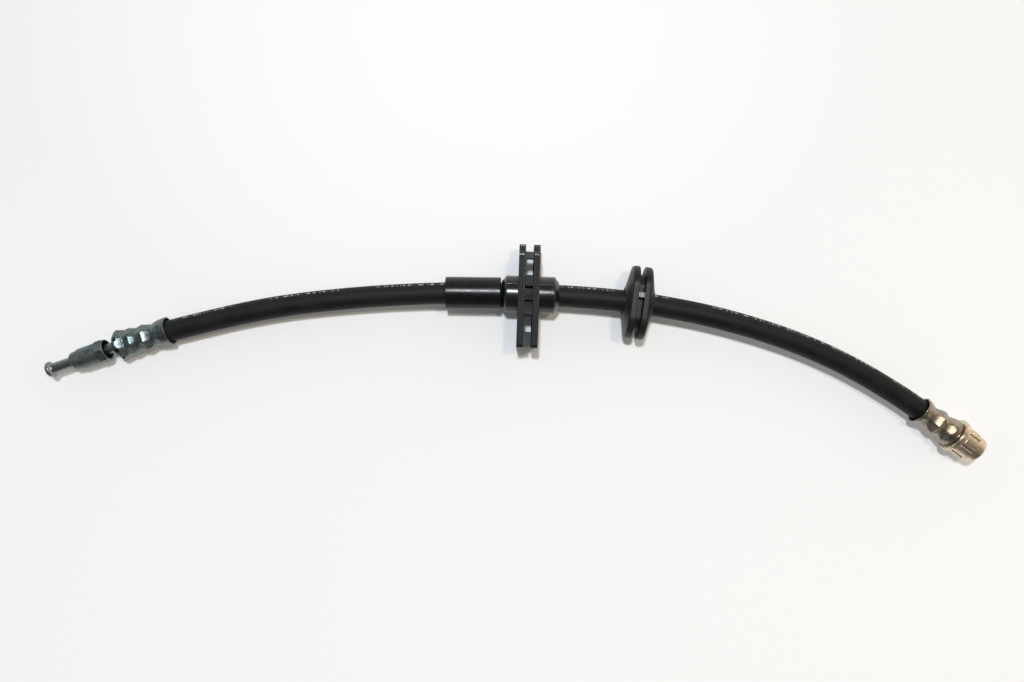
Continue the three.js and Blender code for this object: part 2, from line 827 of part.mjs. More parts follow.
function makeGrommet() {
  const grooveHalf = grommetGrooveWidth / 2;
  const lipTop = grooveHalf + grommetLipThickness;
  const mouthAt = lipTop + grommetConeLength;
  const edge = grommetEdgeRadius;
  const rim = (inset, along) => stadium(grommetLength - 2 * inset, grommetHeight - 2 * inset, along);
  const side = [
    stadium(grommetMouthWidth, grommetMouthHeight, mouthAt),
    rim(edge, lipTop),
    rim(edge * 0.3, lipTop - edge * 0.3),
    rim(0, lipTop - edge),
    rim(0, grooveHalf + edge / 2),
    rim(edge / 2, grooveHalf),
    rim(grommetGrooveDepth, grooveHalf),
  ];
  const flip = new THREE.Vector3(1, -1, 1);
  const mirrored = side.map((outline) => outline.map((point) => point.clone().multiply(flip)));
  const body = lofted([...mirrored, ...side.reverse()]);
  const grooveFloor = grommetHeight / 2 - grommetGrooveDepth;
  const bridge = block(
    [grommetBridgeAt - grommetBridgeWidth / 2, -lipTop / 2, grooveFloor - joinOverlap],
    [grommetBridgeAt + grommetBridgeWidth / 2, lipTop / 2, grommetHeight / 2 - grommetBridgeInset],
  );
  const pocket = block(
    [grommetPocketAt - grommetPocketWidth / 2, -grooveHalf, grooveFloor - grommetPocketDepth],
    [grommetPocketAt + grommetPocketWidth / 2, grooveHalf, grooveFloor + cutterOvershoot],
  );
  const bore = bar(snugRadius, -mouthAt - cutterOvershoot, mouthAt + cutterOvershoot);
  return meshOf("grommet", cutBy(body.add(bridge), [pocket, bore]), material("#242528", 0.7, 0));
}

const clipSeat = seatOnHose(clipAlongHose);
const sleeveSeat = seatOnHose(clipAlongHose - hubLength / 2 - fitClearance - sleeveLength / 2);
const grommetSeat = seatOnHose(grommetAlongHose);

bentSeat.add(makeTubeNut());
leftSeat.add(makeLeftFerrule(), makeTubeStub(), bentSeat);
rightSeat.add(makeRightFerrule(), makeFemaleEnd());
sleeveSeat.add(makeSleeve());
clipSeat.add(makeBracketClip());
grommetSeat.add(makeGrommet());

// The whole assembly, moved so that its footprint is centred and it touches z = 0
const brakeHose = new THREE.Group();
brakeHose.name = "brake_hose";
brakeHose.add(makeHose(), leftSeat, rightSeat, sleeveSeat, clipSeat, grommetSeat);
const extent = new THREE.Box3().setFromObject(brakeHose, true);
const centre = extent.getCenter(new THREE.Vector3());
brakeHose.position.set(-centre.x, -centre.y, -extent.min.z);

export default brakeHose;
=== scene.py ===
import math

import bpy
import numpy as np
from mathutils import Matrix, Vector


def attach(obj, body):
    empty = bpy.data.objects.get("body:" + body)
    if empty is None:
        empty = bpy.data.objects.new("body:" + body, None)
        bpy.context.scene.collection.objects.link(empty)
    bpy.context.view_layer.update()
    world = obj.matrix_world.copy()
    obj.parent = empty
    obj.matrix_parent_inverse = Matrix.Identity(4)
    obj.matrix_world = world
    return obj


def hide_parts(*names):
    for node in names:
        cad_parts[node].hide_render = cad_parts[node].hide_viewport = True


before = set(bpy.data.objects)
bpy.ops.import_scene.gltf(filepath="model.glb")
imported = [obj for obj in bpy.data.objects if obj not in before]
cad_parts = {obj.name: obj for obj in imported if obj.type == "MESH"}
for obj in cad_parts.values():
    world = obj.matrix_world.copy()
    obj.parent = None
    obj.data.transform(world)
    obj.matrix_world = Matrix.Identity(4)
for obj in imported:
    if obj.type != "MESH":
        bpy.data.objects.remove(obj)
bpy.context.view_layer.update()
print("frame loaded:", len(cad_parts), "nodes")

# Pieces are measured in mm, and the camera, the lamps and the floor in Blender's metres.
mm = 0.001
up = np.array([0.0, 0.0, 1.0])


# A smooth line through knots: cubic pieces whose tangents come from the neighbours, each
# weighted by the square root of its distance.
def throughKnots(knots, perSpan):
    k = np.asarray(knots, float)
    k = np.vstack([2 * k[0] - k[1], k, 2 * k[-1] - k[-2]])
    gap = np.linalg.norm(np.diff(k, axis=0), axis=1) ** 0.5
    a, b, c, d = k[:-3], k[1:-2], k[2:-1], k[3:]
    g0, g1, g2 = gap[:-2, None], gap[1:-1, None], gap[2:, None]
    m0 = ((b - a) / g0 - (c - a) / (g0 + g1) + (c - b) / g1) * g1
    m1 = ((c - b) / g1 - (d - b) / (g1 + g2) + (d - c) / g2) * g1
    t = (np.arange(perSpan) / perSpan)[:, None, None]
    line = (2 * t**3 - 3 * t**2 + 1) * b + (t**3 - 2 * t**2 + t) * m0
    line = line + (3 * t**2 - 2 * t**3) * c + (t**3 - t**2) * m1
    line = line.transpose(1, 0, 2).reshape(-1, k.shape[1])
    return np.vstack([line, k[-2]])


fillets = {
    "most": 0.42,  # the share of a side that an arc may take
    "least": 0.01,
    "points": 5,
    "hold": 0.12,  # how far outside the arc its holding points lie, as a share of its reach
}


# Corners (radius, along, fillet) become small arcs, with a holding point on either side.
def filleted(corners):
    points = np.array([c[:2] for c in corners], float)
    line = []
    for i, corner in enumerate(corners):
        here, fillet = points[i], corner[2]
        toBack, toNext = points[i - 1] - here, points[(i + 1) % len(points)] - here
        back, ahead = np.linalg.norm(toBack), np.linalg.norm(toNext)
        reach = min(fillet, fillets["most"] * back, fillets["most"] * ahead)
        if reach < fillets["least"]:
            line.append(here[None])
            continue
        first, last = here + toBack / back * reach, here + toNext / ahead * reach
        t = np.linspace(0, 1, fillets["points"])[:, None]
        arc = (1 - t) ** 2 * first + 2 * t * (1 - t) * here + t**2 * last
        holdBack = first[None] + toBack / back * fillets["hold"] * reach
        holdAhead = last[None] + toNext / ahead * fillets["hold"] * reach
        line += [holdBack, arc, holdAhead]
    return np.vstack(line)


# A seat has its origin on the hose's line, +Y along it and +Z toward the top.
class Seat:
    def __init__(self, origin, along):
        self.origin = np.asarray(origin, float)
        along = along / np.linalg.norm(along)
        across = np.cross(along, up)
        across = across / np.linalg.norm(across)
        self.basis = np.array([across, along, np.cross(across, along)])

    def place(self, local):
        return self.origin + local @ self.basis


# A closed profile (radius, along) turned about +Y. The rule gives the radius again from
# the angle, the distance along and the profile's own radius.
def turned(profile, sides, rule=None):
    radius, along = profile[:, 0][:, None], profile[:, 1][:, None]
    angle = (np.arange(sides) * 2 * math.pi / sides)[None, :]
    radius, along, angle = np.broadcast_arrays(radius, along, angle)
    if rule:
        radius = rule(angle, along, radius)
    return np.stack([radius * np.cos(angle), along, radius * np.sin(angle)], axis=-1)


# Quads of a grid of points that is closed round its columns, and joins its last row to its
# first unless closeRows is off
def gridFaces(rows, columns, closeRows=True):
    r = np.arange(rows if closeRows else rows - 1)[:, None]
    c = np.arange(columns)[None, :]
    nextR, nextC = (r + 1) % rows, (c + 1) % columns
    corners = [r * columns + c, r * columns + nextC, nextR * columns + nextC, nextR * columns + c]
    return np.stack(corners, axis=-1).reshape(-1, 4)


# Six times the volume inside the quads, measured from their middle; negative when they point inward
def signedVolume(points, quads):
    middle = points.mean(axis=0)
    a, b, c, d = (points[quads[:, i]] - middle for i in range(4))
    return np.einsum("ij,ij->", a, np.cross(b, c)) + np.einsum("ij,ij->", a, np.cross(c, d))


# Makes one closed piece from quads and flat end faces, turned outward, riding on its body
# and standing for its node.
def addPiece(name, points, quads, materials, body, node, slot, caps=(), faceMaterial=None, uv=None):
    points = np.asarray(points, float).reshape(-1, 3)
    mesh = bpy.data.meshes.new(name)
    mesh.from_pydata(points * mm, [], [*quads.tolist(), *caps])
    if uv is not None:
        layer = mesh.uv_layers.new(name="alongAndAround")
        layer.data.foreach_set("uv", uv.reshape(-1).astype(np.float32))
    if faceMaterial is not None:
        mesh.polygons.foreach_set("material_index", faceMaterial.astype(np.int32))
    if signedVolume(points, quads) < 0:
        mesh.flip_normals()
    mesh.shade_smooth()
    for material in materials:
        mesh.materials.append(material)
    piece = bpy.data.objects.new(name, mesh)
    bpy.context.scene.collection.objects.link(piece)
    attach(piece, body)
    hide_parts(node)
    return piece


# sRGB hex to linear light
def colour(hexValue):
    channels = np.array([int(hexValue[i:i + 2], 16) / 255 for i in (1, 3, 5)])
    linear = np.where(channels <= 0.04045, channels / 12.92, ((channels + 0.055) / 1.055) ** 2.4)
    return (*linear.tolist(), 1.0)


# Sockets take a value or another node's output.
def setSockets(tree, node, sockets):
    for socket, value in sockets.items():
        if isinstance(value, bpy.types.NodeSocket):
            tree.links.new(value, node.inputs[socket])
        else:
            node.inputs[socket].default_value = value


def addNode(tree, kind, sockets=None, **settings):
    made = tree.nodes.new(kind)
    for setting, value in settings.items():
        setattr(made, setting, value)
    setSockets(tree, made, sockets or {})
    return made


def mathNode(tree, operation, *values):
    return addNode(tree, "ShaderNodeMath", dict(enumerate(values)), operation=operation).outputs[0]


def mixNode(tree, share, colourA, colourB):
    return addNode(tree, "ShaderNodeMix", {0: share, 6: colourA, 7: colourB}, data_type="RGBA").outputs[2]


def rampNode(tree, factor, stops):
    ramp = addNode(tree, "ShaderNodeValToRGB", {"Fac": factor})
    elements = ramp.color_ramp.elements
    while len(elements) < len(stops):
        elements.new(0.5)
    for element, (position, hexValue) in zip(elements, stops):
        element.position = position
        element.color = colour(hexValue)
    return ramp.outputs["Color"]


def startMaterial(name):
    material = bpy.data.materials.new(name)
    material.use_nodes = True
    tree = material.node_tree
    shader = tree.nodes["Principled BSDF"]
    return material, tree, shader


# Noise whose features are about `size` mm, stretched by the given factors
def noiseNode(tree, vector, size, detail=2.0, roughness=0.5, stretch=(1, 1, 1)):
    place = addNode(tree, "ShaderNodeMapping", {"Vector": vector, "Scale": [1 / s for s in stretch]})
    return addNode(tree, "ShaderNodeTexNoise", {
        "Vector": place.outputs["Vector"],
        "Scale": 1 / (size * mm),
        "Detail": detail,
        "Roughness": roughness,
    }).outputs["Fac"]


def bumpNode(tree, height, distance, normal=None):
    sockets = {"Height": height, "Distance": distance * mm, "Strength": 1.0}
    if normal is not None:
        sockets["Normal"] = normal
    return addNode(tree, "ShaderNodeBump", sockets).outputs["Normal"]


def rangeNode(tree, value, low, high, toLow, toHigh):
    return addNode(tree, "ShaderNodeMapRange", {
        "Value": value, "From Min": low, "From Max": high, "To Min": toLow, "To Max": toHigh,
    }).outputs["Result"]


camera = {
    "place": (-0.000945, 0.005983, 0.370),
    "lens": 26.19,
    "sensorWidth": 36,
    "clipStart": 0.01,
}
cameraData = bpy.data.cameras.new("camera")
cameraData.lens = camera["lens"]
cameraData.sensor_width = camera["sensorWidth"]
cameraData.clip_start = camera["clipStart"]
cameraObject = bpy.data.objects.new("camera", cameraData)
cameraObject.location = camera["place"]
bpy.context.scene.collection.objects.link(cameraObject)
bpy.context.scene.camera = cameraObject
print("camera placed")


hose = {
    "diameter": 10.5,
    "crimpedDiameter": 9.0,
    "boreDiameter": 3.4,
    "rings": 620,
    "sides": 48,
    "perKnot": 24,
    "pathPoints": 240,
    "squeezeRun": 0.6,
    "leftInsertion": 19.8,
    "rightInsertion": 16.0,
    "mouthDepth": 3.0,
    "shift": (0.755, -0.417, 0.019),
    "route": [
        (-187.2, 6.0, 7.4), (-179.9, 8.1, 7.4), (-168.3, 11.3, 7.4), (-153.5, 15.0, 7.5),
        (-135.9, 19.1, 7.6), (-118.4, 22.5, 7.8), (-100.8, 25.0, 8.1), (-83.3, 26.8, 8.5),
        (-65.7, 28.2, 8.9), (-48.2, 29.1, 9.3), (-34.6, 29.5, 9.6), (-20.6, 29.5, 9.6),
        (-6.5, 29.2, 9.6), (7.0, 28.8, 9.6), (21.5, 28.2, 9.7), (34.1, 27.4, 9.9),
        (46.6, 26.3, 10.2), (60.1, 24.7, 10.5), (73.6, 22.5, 10.4), (89.1, 19.5, 10.2),
        (104.6, 15.7, 10.0), (120.2, 11.1, 9.7), (135.7, 5.7, 9.4), (151.4, -0.9, 9.1),
        (167.0, -8.8, 8.9), (179.6, -16.2, 8.7), (189.4, -22.4, 8.6), (196.4, -27.4, 8.6),
        (203.9, -32.9, 8.6), (208.7, -36.4, 8.6),
    ],
}

hoseLine = throughKnots(np.array(hose["route"]) + hose["shift"], hose["perKnot"])
hoseRun = np.concatenate([[0], np.cumsum(np.linalg.norm(np.diff(hoseLine, axis=0), axis=1))])
hoseLength = hoseRun[-1]


def pointOnHose(distance):
    return np.stack([np.interp(distance, hoseRun, hoseLine[:, i]) for i in range(3)], axis=-1)


def seatOnHose(distance):
    return Seat(pointOnHose(distance), pointOnHose(distance + 0.5) - pointOnHose(distance - 0.5))


leftOut = hoseLine[0] - hoseLine[3]
rightOut = hoseLine[-1] - hoseLine[-4]
leftOut, rightOut = leftOut / np.linalg.norm(leftOut), rightOut / np.linalg.norm(rightOut)
leftSeat = Seat(hoseLine[0] - leftOut * hose["leftInsertion"], leftOut)
rightSeat = Seat(hoseLine[-1] - rightOut * hose["rightInsertion"], rightOut)


hoseMarks = {
    "around": 3.2,  # where the line lies, measured round the hose from its upper side in the picture
    "halfWidth": 0.55,
    "softEdge": 0.12,
    "dash": 2.6,
    "group": 26,
    "colour": "#a9abab",
}


# EPDM rubber, extruded over a braid and cured: near-black and dull, with a faint
# lengthwise grain, and a worn white marking line along one side.
def makeHoseRubber():
    material, tree, shader = startMaterial("epdmHoseRubber")
    uv = addNode(tree, "ShaderNodeUVMap", uv_map="alongAndAround").outputs["UV"]
    place = addNode(tree, "ShaderNodeTexCoord").outputs["Object"]
    cloud = noiseNode(tree, place, 9, 3)
    grain = noiseNode(tree, uv, 0.35, 3, 0.6, (30, 1, 1))
    speck = noiseNode(tree, place, 0.45, 2, 0.7)
    base = rampNode(tree, cloud, [(0.35, "#111213"), (0.65, "#191a1a")])
    # Marking line: u runs along the hose and v round it, both in metres
    parts = addNode(tree, "ShaderNodeSeparateXYZ", {"Vector": uv})
    along, around = parts.outputs["X"], parts.outputs["Y"]
    offLine = mathNode(tree, "ABSOLUTE", mathNode(tree, "SUBTRACT", around, hoseMarks["around"] * mm))
    lineHalf = hoseMarks["halfWidth"]
    mask = rangeNode(tree, offLine, lineHalf * mm, (lineHalf + hoseMarks["softEdge"]) * mm, 1, 0)
    onlyAlong = addNode(tree, "ShaderNodeCombineXYZ", {"X": along}).outputs["Vector"]
    dashes = noiseNode(tree, onlyAlong, hoseMarks["dash"], 2.5, 0.75)
    groups = noiseNode(tree, onlyAlong, hoseMarks["group"], 0)
    dashOn = rangeNode(tree, dashes, 0.5, 0.53, 0, 1)
    groupOn = rangeNode(tree, groups, 0.44, 0.5, 0, 1)
    worn = rangeNode(tree, speck, 0.36, 0.52, 0, 1)
    for factor in (dashOn, groupOn, worn):
        mask = mathNode(tree, "MULTIPLY", mask, factor)
    setSockets(tree, shader, {
        "Base Color": mixNode(tree, mask, base, colour(hoseMarks["colour"])),
        "Roughness": rangeNode(tree, cloud, 0.3, 0.7, 0.5, 0.62),
        "Normal": bumpNode(tree, speck, 0.03, bumpNode(tree, grain, 0.05)),
        "Specular IOR Level": 0.22,
    })
    return material


# The hose is a tube round its line: a ring at each point, squeezed inside the ferrules.
# Ring angle 0 points across the hose and a quarter turn on points to the top.
def makeHose():
    count = hose["rings"]
    distance = np.linspace(0, hoseLength, count)
    leftMouth = hose["leftInsertion"] - hose["mouthDepth"]
    rightMouth = hoseLength - hose["rightInsertion"] + hose["mouthDepth"]
    past = np.maximum(leftMouth - distance, distance - rightMouth)
    squeezed = np.clip(past / hose["squeezeRun"] + 0.5, 0, 1)
    radius = (hose["diameter"] + (hose["crimpedDiameter"] - hose["diameter"]) * squeezed) / 2
    centre = pointOnHose(distance)
    tangent = np.gradient(centre, axis=0)
    tangent /= np.linalg.norm(tangent, axis=1)[:, None]
    across = np.cross(up, tangent)
    across /= np.linalg.norm(across, axis=1)[:, None]
    top = np.cross(tangent, across)
    sides = hose["sides"]
    angle = np.arange(sides) * 2 * math.pi / sides
    ring = across[:, None] * np.cos(angle)[None, :, None] + top[:, None] * np.sin(angle)[None, :, None]
    outer = centre[:, None] + ring * radius[:, None, None]
    inner = centre[:, None] + ring * hose["boreDiameter"] / 2
    points = np.concatenate([outer, inner[::-1]])
    quads = gridFaces(2 * count, sides)
    run = np.concatenate([distance, distance[::-1]]) * mm
    row, column = np.divmod(np.arange(2 * count * sides), sides)
    u = np.stack([run[row], run[row], run[(row + 1) % (2 * count)], run[(row + 1) % (2 * count)]], axis=-1)
    step = math.pi * hose["diameter"] * mm / sides
    v = np.stack([column, column + 1, column + 1, column], axis=-1) * step
    # The line of marks lies near angle 0, so the seam is moved to the far side.
    v = np.where(v.min(axis=1, keepdims=True) >= step * sides / 2, v - step * sides, v)
    piece = addPiece("hose_cover", points, quads, [makeHoseRubber()], "hose_assembly", "hose", "hose_rubber",
                     uv=np.stack([u, v], axis=-1))


makeHose()
print("hose made, length", round(float(hoseLength), 1), "mm")


# Steel, plated or bare: clouds of tint about tintSize mm wide, a fine mottle in its gloss and
# a grain as deep as the given mm.
def makeZincSteel(name, stops, roughness, tintSize, grain):
    material, tree, shader = startMaterial(name)
    place = addNode(tree, "ShaderNodeTexCoord").outputs["Object"]
    tint = noiseNode(tree, place, tintSize, 2, 0.55)
    fine = noiseNode(tree, place, 0.7, 3, 0.6)
    setSockets(tree, shader, {
        "Base Color": rampNode(tree, tint, stops),
        "Roughness": rangeNode(tree, fine, 0.3, 0.7, *roughness),
        "Normal": bumpNode(tree, fine, grain),
        "Metallic": 1.0,
    })
    return material


# Clear zinc: cool grey with teal and faint red tints, smooth enough for hard bright patches
blueZinc = makeZincSteel("blueZincSteel", [
    (0.34, "#55676b"), (0.46, "#80847f"), (0.56, "#657679"), (0.68, "#8f807e"),
], (0.32, 0.4), 3, 0.01)
# Yellow zinc on the pressed shell: silver with olive, pink and teal clouds
yellowZinc = makeZincSteel("yellowZincSteel", [
    (0.32, "#a5a49c"), (0.44, "#7f7f69"), (0.52, "#b09b97"), (0.62, "#93917a"), (0.72, "#779496"),
], (0.28, 0.36), 2.4, 0.006)
# The same plating on turned steel, made paler and warmer as painted light, so that the nose and its pads
# read as brightly lit
yellowZincPaintedLight = makeZincSteel("paintedLightYellowZincSteel", [
    (0.32, "#f2ebd9"), (0.44, "#b9b08b"), (0.52, "#f0cdc3"), (0.62, "#d3cba9"), (0.72, "#b2c9c4"),
], (0.3, 0.38), 2.4, 0.006)
# Drawn tube: even bright grey
tubeSteel = makeZincSteel("drawnTubeSteel", [
    (0.35, "#767d7f"), (0.50, "#8d9190"), (0.65, "#6f7b7c"),
], (0.28, 0.42), 4, 0.03)
# Nut: dull greenish grey, grainy
nutSteel = makeZincSteel("greyZincNutSteel", [
    (0.35, "#67716e"), (0.50, "#7b8280"), (0.65, "#5d6a68"),
], (0.42, 0.55), 3, 0.06)
# Nut's bore: painted shade, dark brown, so that the hollow reads as deep
nutBorePaintedShade = makeZincSteel("paintedShadeNutBore", [
    (0.35, "#3b322c"), (0.65, "#51443b"),
], (0.5, 0.65), 2, 0.05)
# Floors of the collar's notches: near-black painted shade, so that they show from afar
notchPaintedShade = makeZincSteel("paintedShadeCollarNotches", [
    (0.35, "#11171a"), (0.65, "#252d2f"),
], (0.5, 0.6), 2, 0.03)

crimp = {
    "flats": 8,
    "halfWidth": 2.4,
    "rise": 0.35,
    "bellRadius": 6.9,
    "mouthDepth": 3.3,
    "snugRadius": 5.55,
    "crimpedRadius": 4.8,
    "squeezeRun": 0.8,
    "mouthFlare": 0.6,
    "endWall": 1.4,
    "blend": 0.01,  # softens the line where a flat meets the round shell
    "blendLift": 0.02,
    "perKnot": 16,
    "rimRun": 0.5,
    "rimFillet": 0.22,
    "sides": 192,
}


# Each crimp is a ring of flats: distance from the axis = (apothem + rise * reach^2) / cos(angle
# off the flat's middle), and the shell is the nearer of that and its round outline.
def pressed(bands, extra=None):
    step = 2 * math.pi / crimp["flats"]

    def rule(angle, along, radius):
        off = angle - step * np.round(angle / step)
        result = radius
        for at, apothem in bands:
            reach = (along - at) / crimp["halfWidth"]
            flat = (apothem + crimp["rise"] * reach**2) / np.cos(off)
            nearer = (radius + flat - np.sqrt((radius - flat) ** 2 + crimp["blend"])) / 2
            soft = nearer + crimp["blendLift"]
            result = np.where(radius > crimp["snugRadius"] - 0.1, np.minimum(result, soft), result)
        return extra(angle, along, result) if extra else result

    return rule


def ferruleInside(length, holeRadius):
    wallAt = length - crimp["endWall"]
    return [
        (holeRadius, length, 0.15),
        (holeRadius, wallAt, 0.1),
        (crimp["crimpedRadius"], wallAt, 0.1),
        (crimp["crimpedRadius"], crimp["mouthDepth"] + crimp["squeezeRun"], 0.1),
        (crimp["snugRadius"], crimp["mouthDepth"], 0.1),
        (crimp["snugRadius"], crimp["mouthDepth"] - crimp["mouthFlare"], 0.2),
        (crimp["snugRadius"] + crimp["mouthFlare"], 0, 0.2),
    ]


# A ferrule's closed profile: rounded rim, smooth outline, end corners, then the inside back out.
def ferruleProfile(spec, endCorners, holeRadius):
    outline = throughKnots(spec["knots"], crimp["perKnot"])
    outline = outline[outline[:, 1] > crimp["rimRun"]][:-1]
    rim = [(crimp["bellRadius"], 0, crimp["rimFillet"]), *[(radius, along, 0) for radius, along in outline]]
    return filleted([*rim, *endCorners, *ferruleInside(spec["length"], holeRadius)])


ferruleLeft = {
    "length": 26.4,
    "knots": [(6.9, 0), (6.45, 4.3), (5.5, 7.5), (6.75, 11.1), (5.8, 15), (6.75, 18.2), (6.3, 20.6)],
    "bands": [(7.9, 5.5), (14.4, 5.8), (20, 6.2)],
    "collarFrom": 21.1,
    "collarRadius": 7.3,
    "collarRows": (1.6, 1.45, 1.35, 1.2, 0.8),
    "coneLength": 1.6,
    "coneDepth": 1.7,
    "holeRadius": 3.0,
    "notches": 8,
    "notchLength": 3.0,
    "notchWidth": 1.6,
    "notchStart": 0.25,  # the share of its depth that a notch has at its start
    "notchDepth": 1.9,
    "notchTurn": 20,
}
ferruleRight = {
    "length": 19.7,
    "knots": [(6.9, 0), (6.45, 2.2), (5.5, 5.5), (6.75, 9.7), (5.8, 12.7), (6.75, 15.9), (6.8, 19.7)],
    "bands": [(5.8, 5.45), (12.7, 5.8)],
    "holeRadius": 4.0,
}


# The collar's notches are cut into its conical end, their floors sinking towards the tube.
def collarNotches(angle, along, radius):
    step = 2 * math.pi / ferruleLeft["notches"]
    turn = math.radians(90 - ferruleLeft["notchTurn"])
    off = angle - turn - step * np.round((angle - turn) / step)
    run = (along - ferruleLeft["length"]) / ferruleLeft["notchLength"] + 1
    start = ferruleLeft["notchStart"]
    floor = ferruleLeft["collarRadius"] - ferruleLeft["notchDepth"] * (start + (1 - start) * run)
    inside = np.abs(off) * ferruleLeft["collarRadius"] < ferruleLeft["notchWidth"] / 2
    return np.where(inside & (run > 0) & (radius > floor), floor, radius)


# True for each face of the shell that lies in a notch, which takes the painted shade
def notchFaces(profile):
    angle = (np.arange(crimp["sides"]) * 2 * math.pi / crimp["sides"])[None, :]
    radius, along = profile[:, 0][:, None], profile[:, 1][:, None]
    return collarNotches(angle, along, radius) < radius - 0.05


# A turned piece. Where innerRows holds, for whole rows or for single faces, the faces get the
# inner material; moved is a last change to the points before they take their seat.
def addTurned(name, profile, sides, seat, material, body, node, slot, rule=None, inner=None, innerRows=None,
              moved=None):
    points = turned(profile, sides, rule)
    points = seat.place(moved(points) if moved else points)
    quads = gridFaces(len(profile), sides)
    faceMaterial = None
    if inner:
        marked = np.asarray(innerRows(profile)).reshape(len(profile), -1)
        faceMaterial = np.broadcast_to(marked, (len(profile), sides)).ravel().astype(int)
    return addPiece(name, points, quads, [material, inner] if inner else [material], body, node, slot,
                    faceMaterial=faceMaterial)


collar, collarEnd = ferruleLeft["collarRadius"], ferruleLeft["length"] - ferruleLeft["coneLength"]
# The left ferrule's notch faces take the near-black painted shade.
addTurned(
    "left_ferrule_shell",
    ferruleProfile(ferruleLeft, [
        (6.3, 20.6, 0.2),
        (collar, ferruleLeft["collarFrom"], 0.3),
        *[(collar, collarEnd - back, 0) for back in ferruleLeft["collarRows"]],
        (collar, collarEnd, 0.35),
        (collar - ferruleLeft["coneDepth"], ferruleLeft["length"], 0.3),
    ], ferruleLeft["holeRadius"]),
    crimp["sides"], leftSeat, blueZinc, "hose_assembly", "left_ferrule", "clear_zinc_steel",
    rule=pressed(ferruleLeft["bands"], collarNotches), inner=notchPaintedShade, innerRows=notchFaces,
)
addTurned(
    "right_ferrule_shell",
    ferruleProfile(ferruleRight, [(6.8, ferruleRight["length"], 0.3)], ferruleRight["holeRadius"]),
    crimp["sides"], rightSeat, yellowZinc, "hose_assembly", "right_ferrule", "yellow_zinc_steel",
    rule=pressed(ferruleRight["bands"]),
)
print("ferrules made")


nipple = {
    "radius": 1.4,
    "bore": 0.8,
    "length": 18,
    "barbs": 4,
    "pitch": 4,
    "barbDepth": 0.2,
    "shoulderGap": 0.3,
}


# From the nipple's tip to its shoulder, with sawtooth barbs
def nippleCorners(hoseEnd, shoulderRadius, shoulderEnd):
    start = hoseEnd - nipple["length"]
    corners = [(nipple["bore"], start, 0), (nipple["bore"] + 0.2, start, 0)]
    for i in range(1, nipple["barbs"] + 1):
        end = start + i * nipple["pitch"]
        valley = nipple["radius"] - nipple["barbDepth"]
        corners += [(nipple["radius"], end - nipple["barbDepth"], 0), (valley, end, 0)]
    return corners + [
        (nipple["radius"], hoseEnd + nipple["shoulderGap"], 0.1),
        (shoulderRadius, hoseEnd + nipple["shoulderGap"], 0.2),
        (shoulderRadius, shoulderEnd, 0.2),
    ]


tube = {
    "radius": 2.6,
    "bore": 1.1,
    "tip": 62.2,
    "flareRadius": 3.85,
    "flareThickness": 2.4,
    "flareSlope": 0.5,
    "flareChamfer": 0.8,
    "seatRadius": 2.55,
    "seatDepth": 0.9,
    "shoulderRadius": 4.4,
    "shoulderEnd": 24.7,
    "bendAt": 25.7,
    "bendRun": 1.4,
    "bendRows": (25.1, 25.4, 25.7, 26.0, 26.3, 26.6),
    "bendAngle": 3.5,
    "sides": 96,
}


# The tube bends inside the ferrule's end wall: each ring turns about the bend's middle.
def bent(points):
    share = np.clip((points[..., 1] - tube["bendAt"]) / tube["bendRun"] + 0.5, 0, 1)
    turn = math.radians(tube["bendAngle"]) * share
    x, y = points[..., 0], points[..., 1] - tube["bendAt"]
    return np.stack([
        x * np.cos(turn) - y * np.sin(turn),
        tube["bendAt"] + x * np.sin(turn) + y * np.cos(turn),
        points[..., 2],
    ], axis=-1)


tip, flareFrom, shoulderEnd = tube["tip"], tube["tip"] - tube["flareThickness"], tube["shoulderEnd"]
addTurned(
    "tube_end",
    filleted([
        *nippleCorners(hose["leftInsertion"], tube["shoulderRadius"], shoulderEnd),
        (tube["radius"], shoulderEnd, 0.2),
        *[(tube["radius"], along, 0) for along in tube["bendRows"]],
        (tube["radius"], flareFrom - tube["flareSlope"], 0.6),
        (tube["flareRadius"], flareFrom + tube["flareSlope"], 0.35),
        (tube["flareRadius"], tip - tube["flareChamfer"], 0.4),
        (tube["flareRadius"] - tube["flareChamfer"], tip, 0.35),
        (tube["seatRadius"], tip, 0.15),
        (tube["bore"], tip - tube["seatDepth"], 0.2),
        (tube["bore"], tube["bendRows"][-1], 0),
        (nipple["bore"], shoulderEnd, 0),
    ]),
    tube["sides"], leftSeat, tubeSteel, "hose_assembly", "tube_stub", "tube_steel", moved=bent,
)

nut = {
    "from": 31.6,
    "hexTo": 36.2,
    "to": 49.2,
    "acrossFlats": 10,
    "hexChamfer": 0.6,
    "hexRows": 12,
    "threadRadius": 5.0,
    "threadChamfer": 0.8,
    "pilotRadius": 4.35,
    "pilotLength": 3.1,
    "pilotChamfer": 0.45,
    "boreRadius": 4.4,
    "boreDepth": 5.5,
    "holeRadius": 2.9,
    "darkRun": (0.2, 9),  # the painted shade's start and end in the bore, from the nut's hexagon end
    "sides": 192,
}


# Hexagon: distance from the axis = half the width over flats / cos(angle off the flat's middle),
# cut to the turned outline, so that the chamfers meet the flats in curves.
def hexagonal(angle, along, radius):
    sixth = math.pi / 3
    off = angle - sixth * np.round(angle / sixth)
    flat = nut["acrossFlats"] / 2 / np.cos(off)
    onHexagon = (along < nut["hexTo"] + 0.01) & (radius > nut["threadRadius"])
    return np.where(onHexagon, np.minimum(radius, flat), radius)


# True for the rows of the nut's profile that lie in its hollow end and take the painted shade
def nutBoreRows(profile):
    radius, along = profile[:, 0], profile[:, 1]
    darkFrom, darkTo = nut["darkRun"]
    onBore = radius < nut["boreRadius"] + 0.1
    return onBore & (along < nut["from"] + darkTo) & (along > nut["from"] + darkFrom)


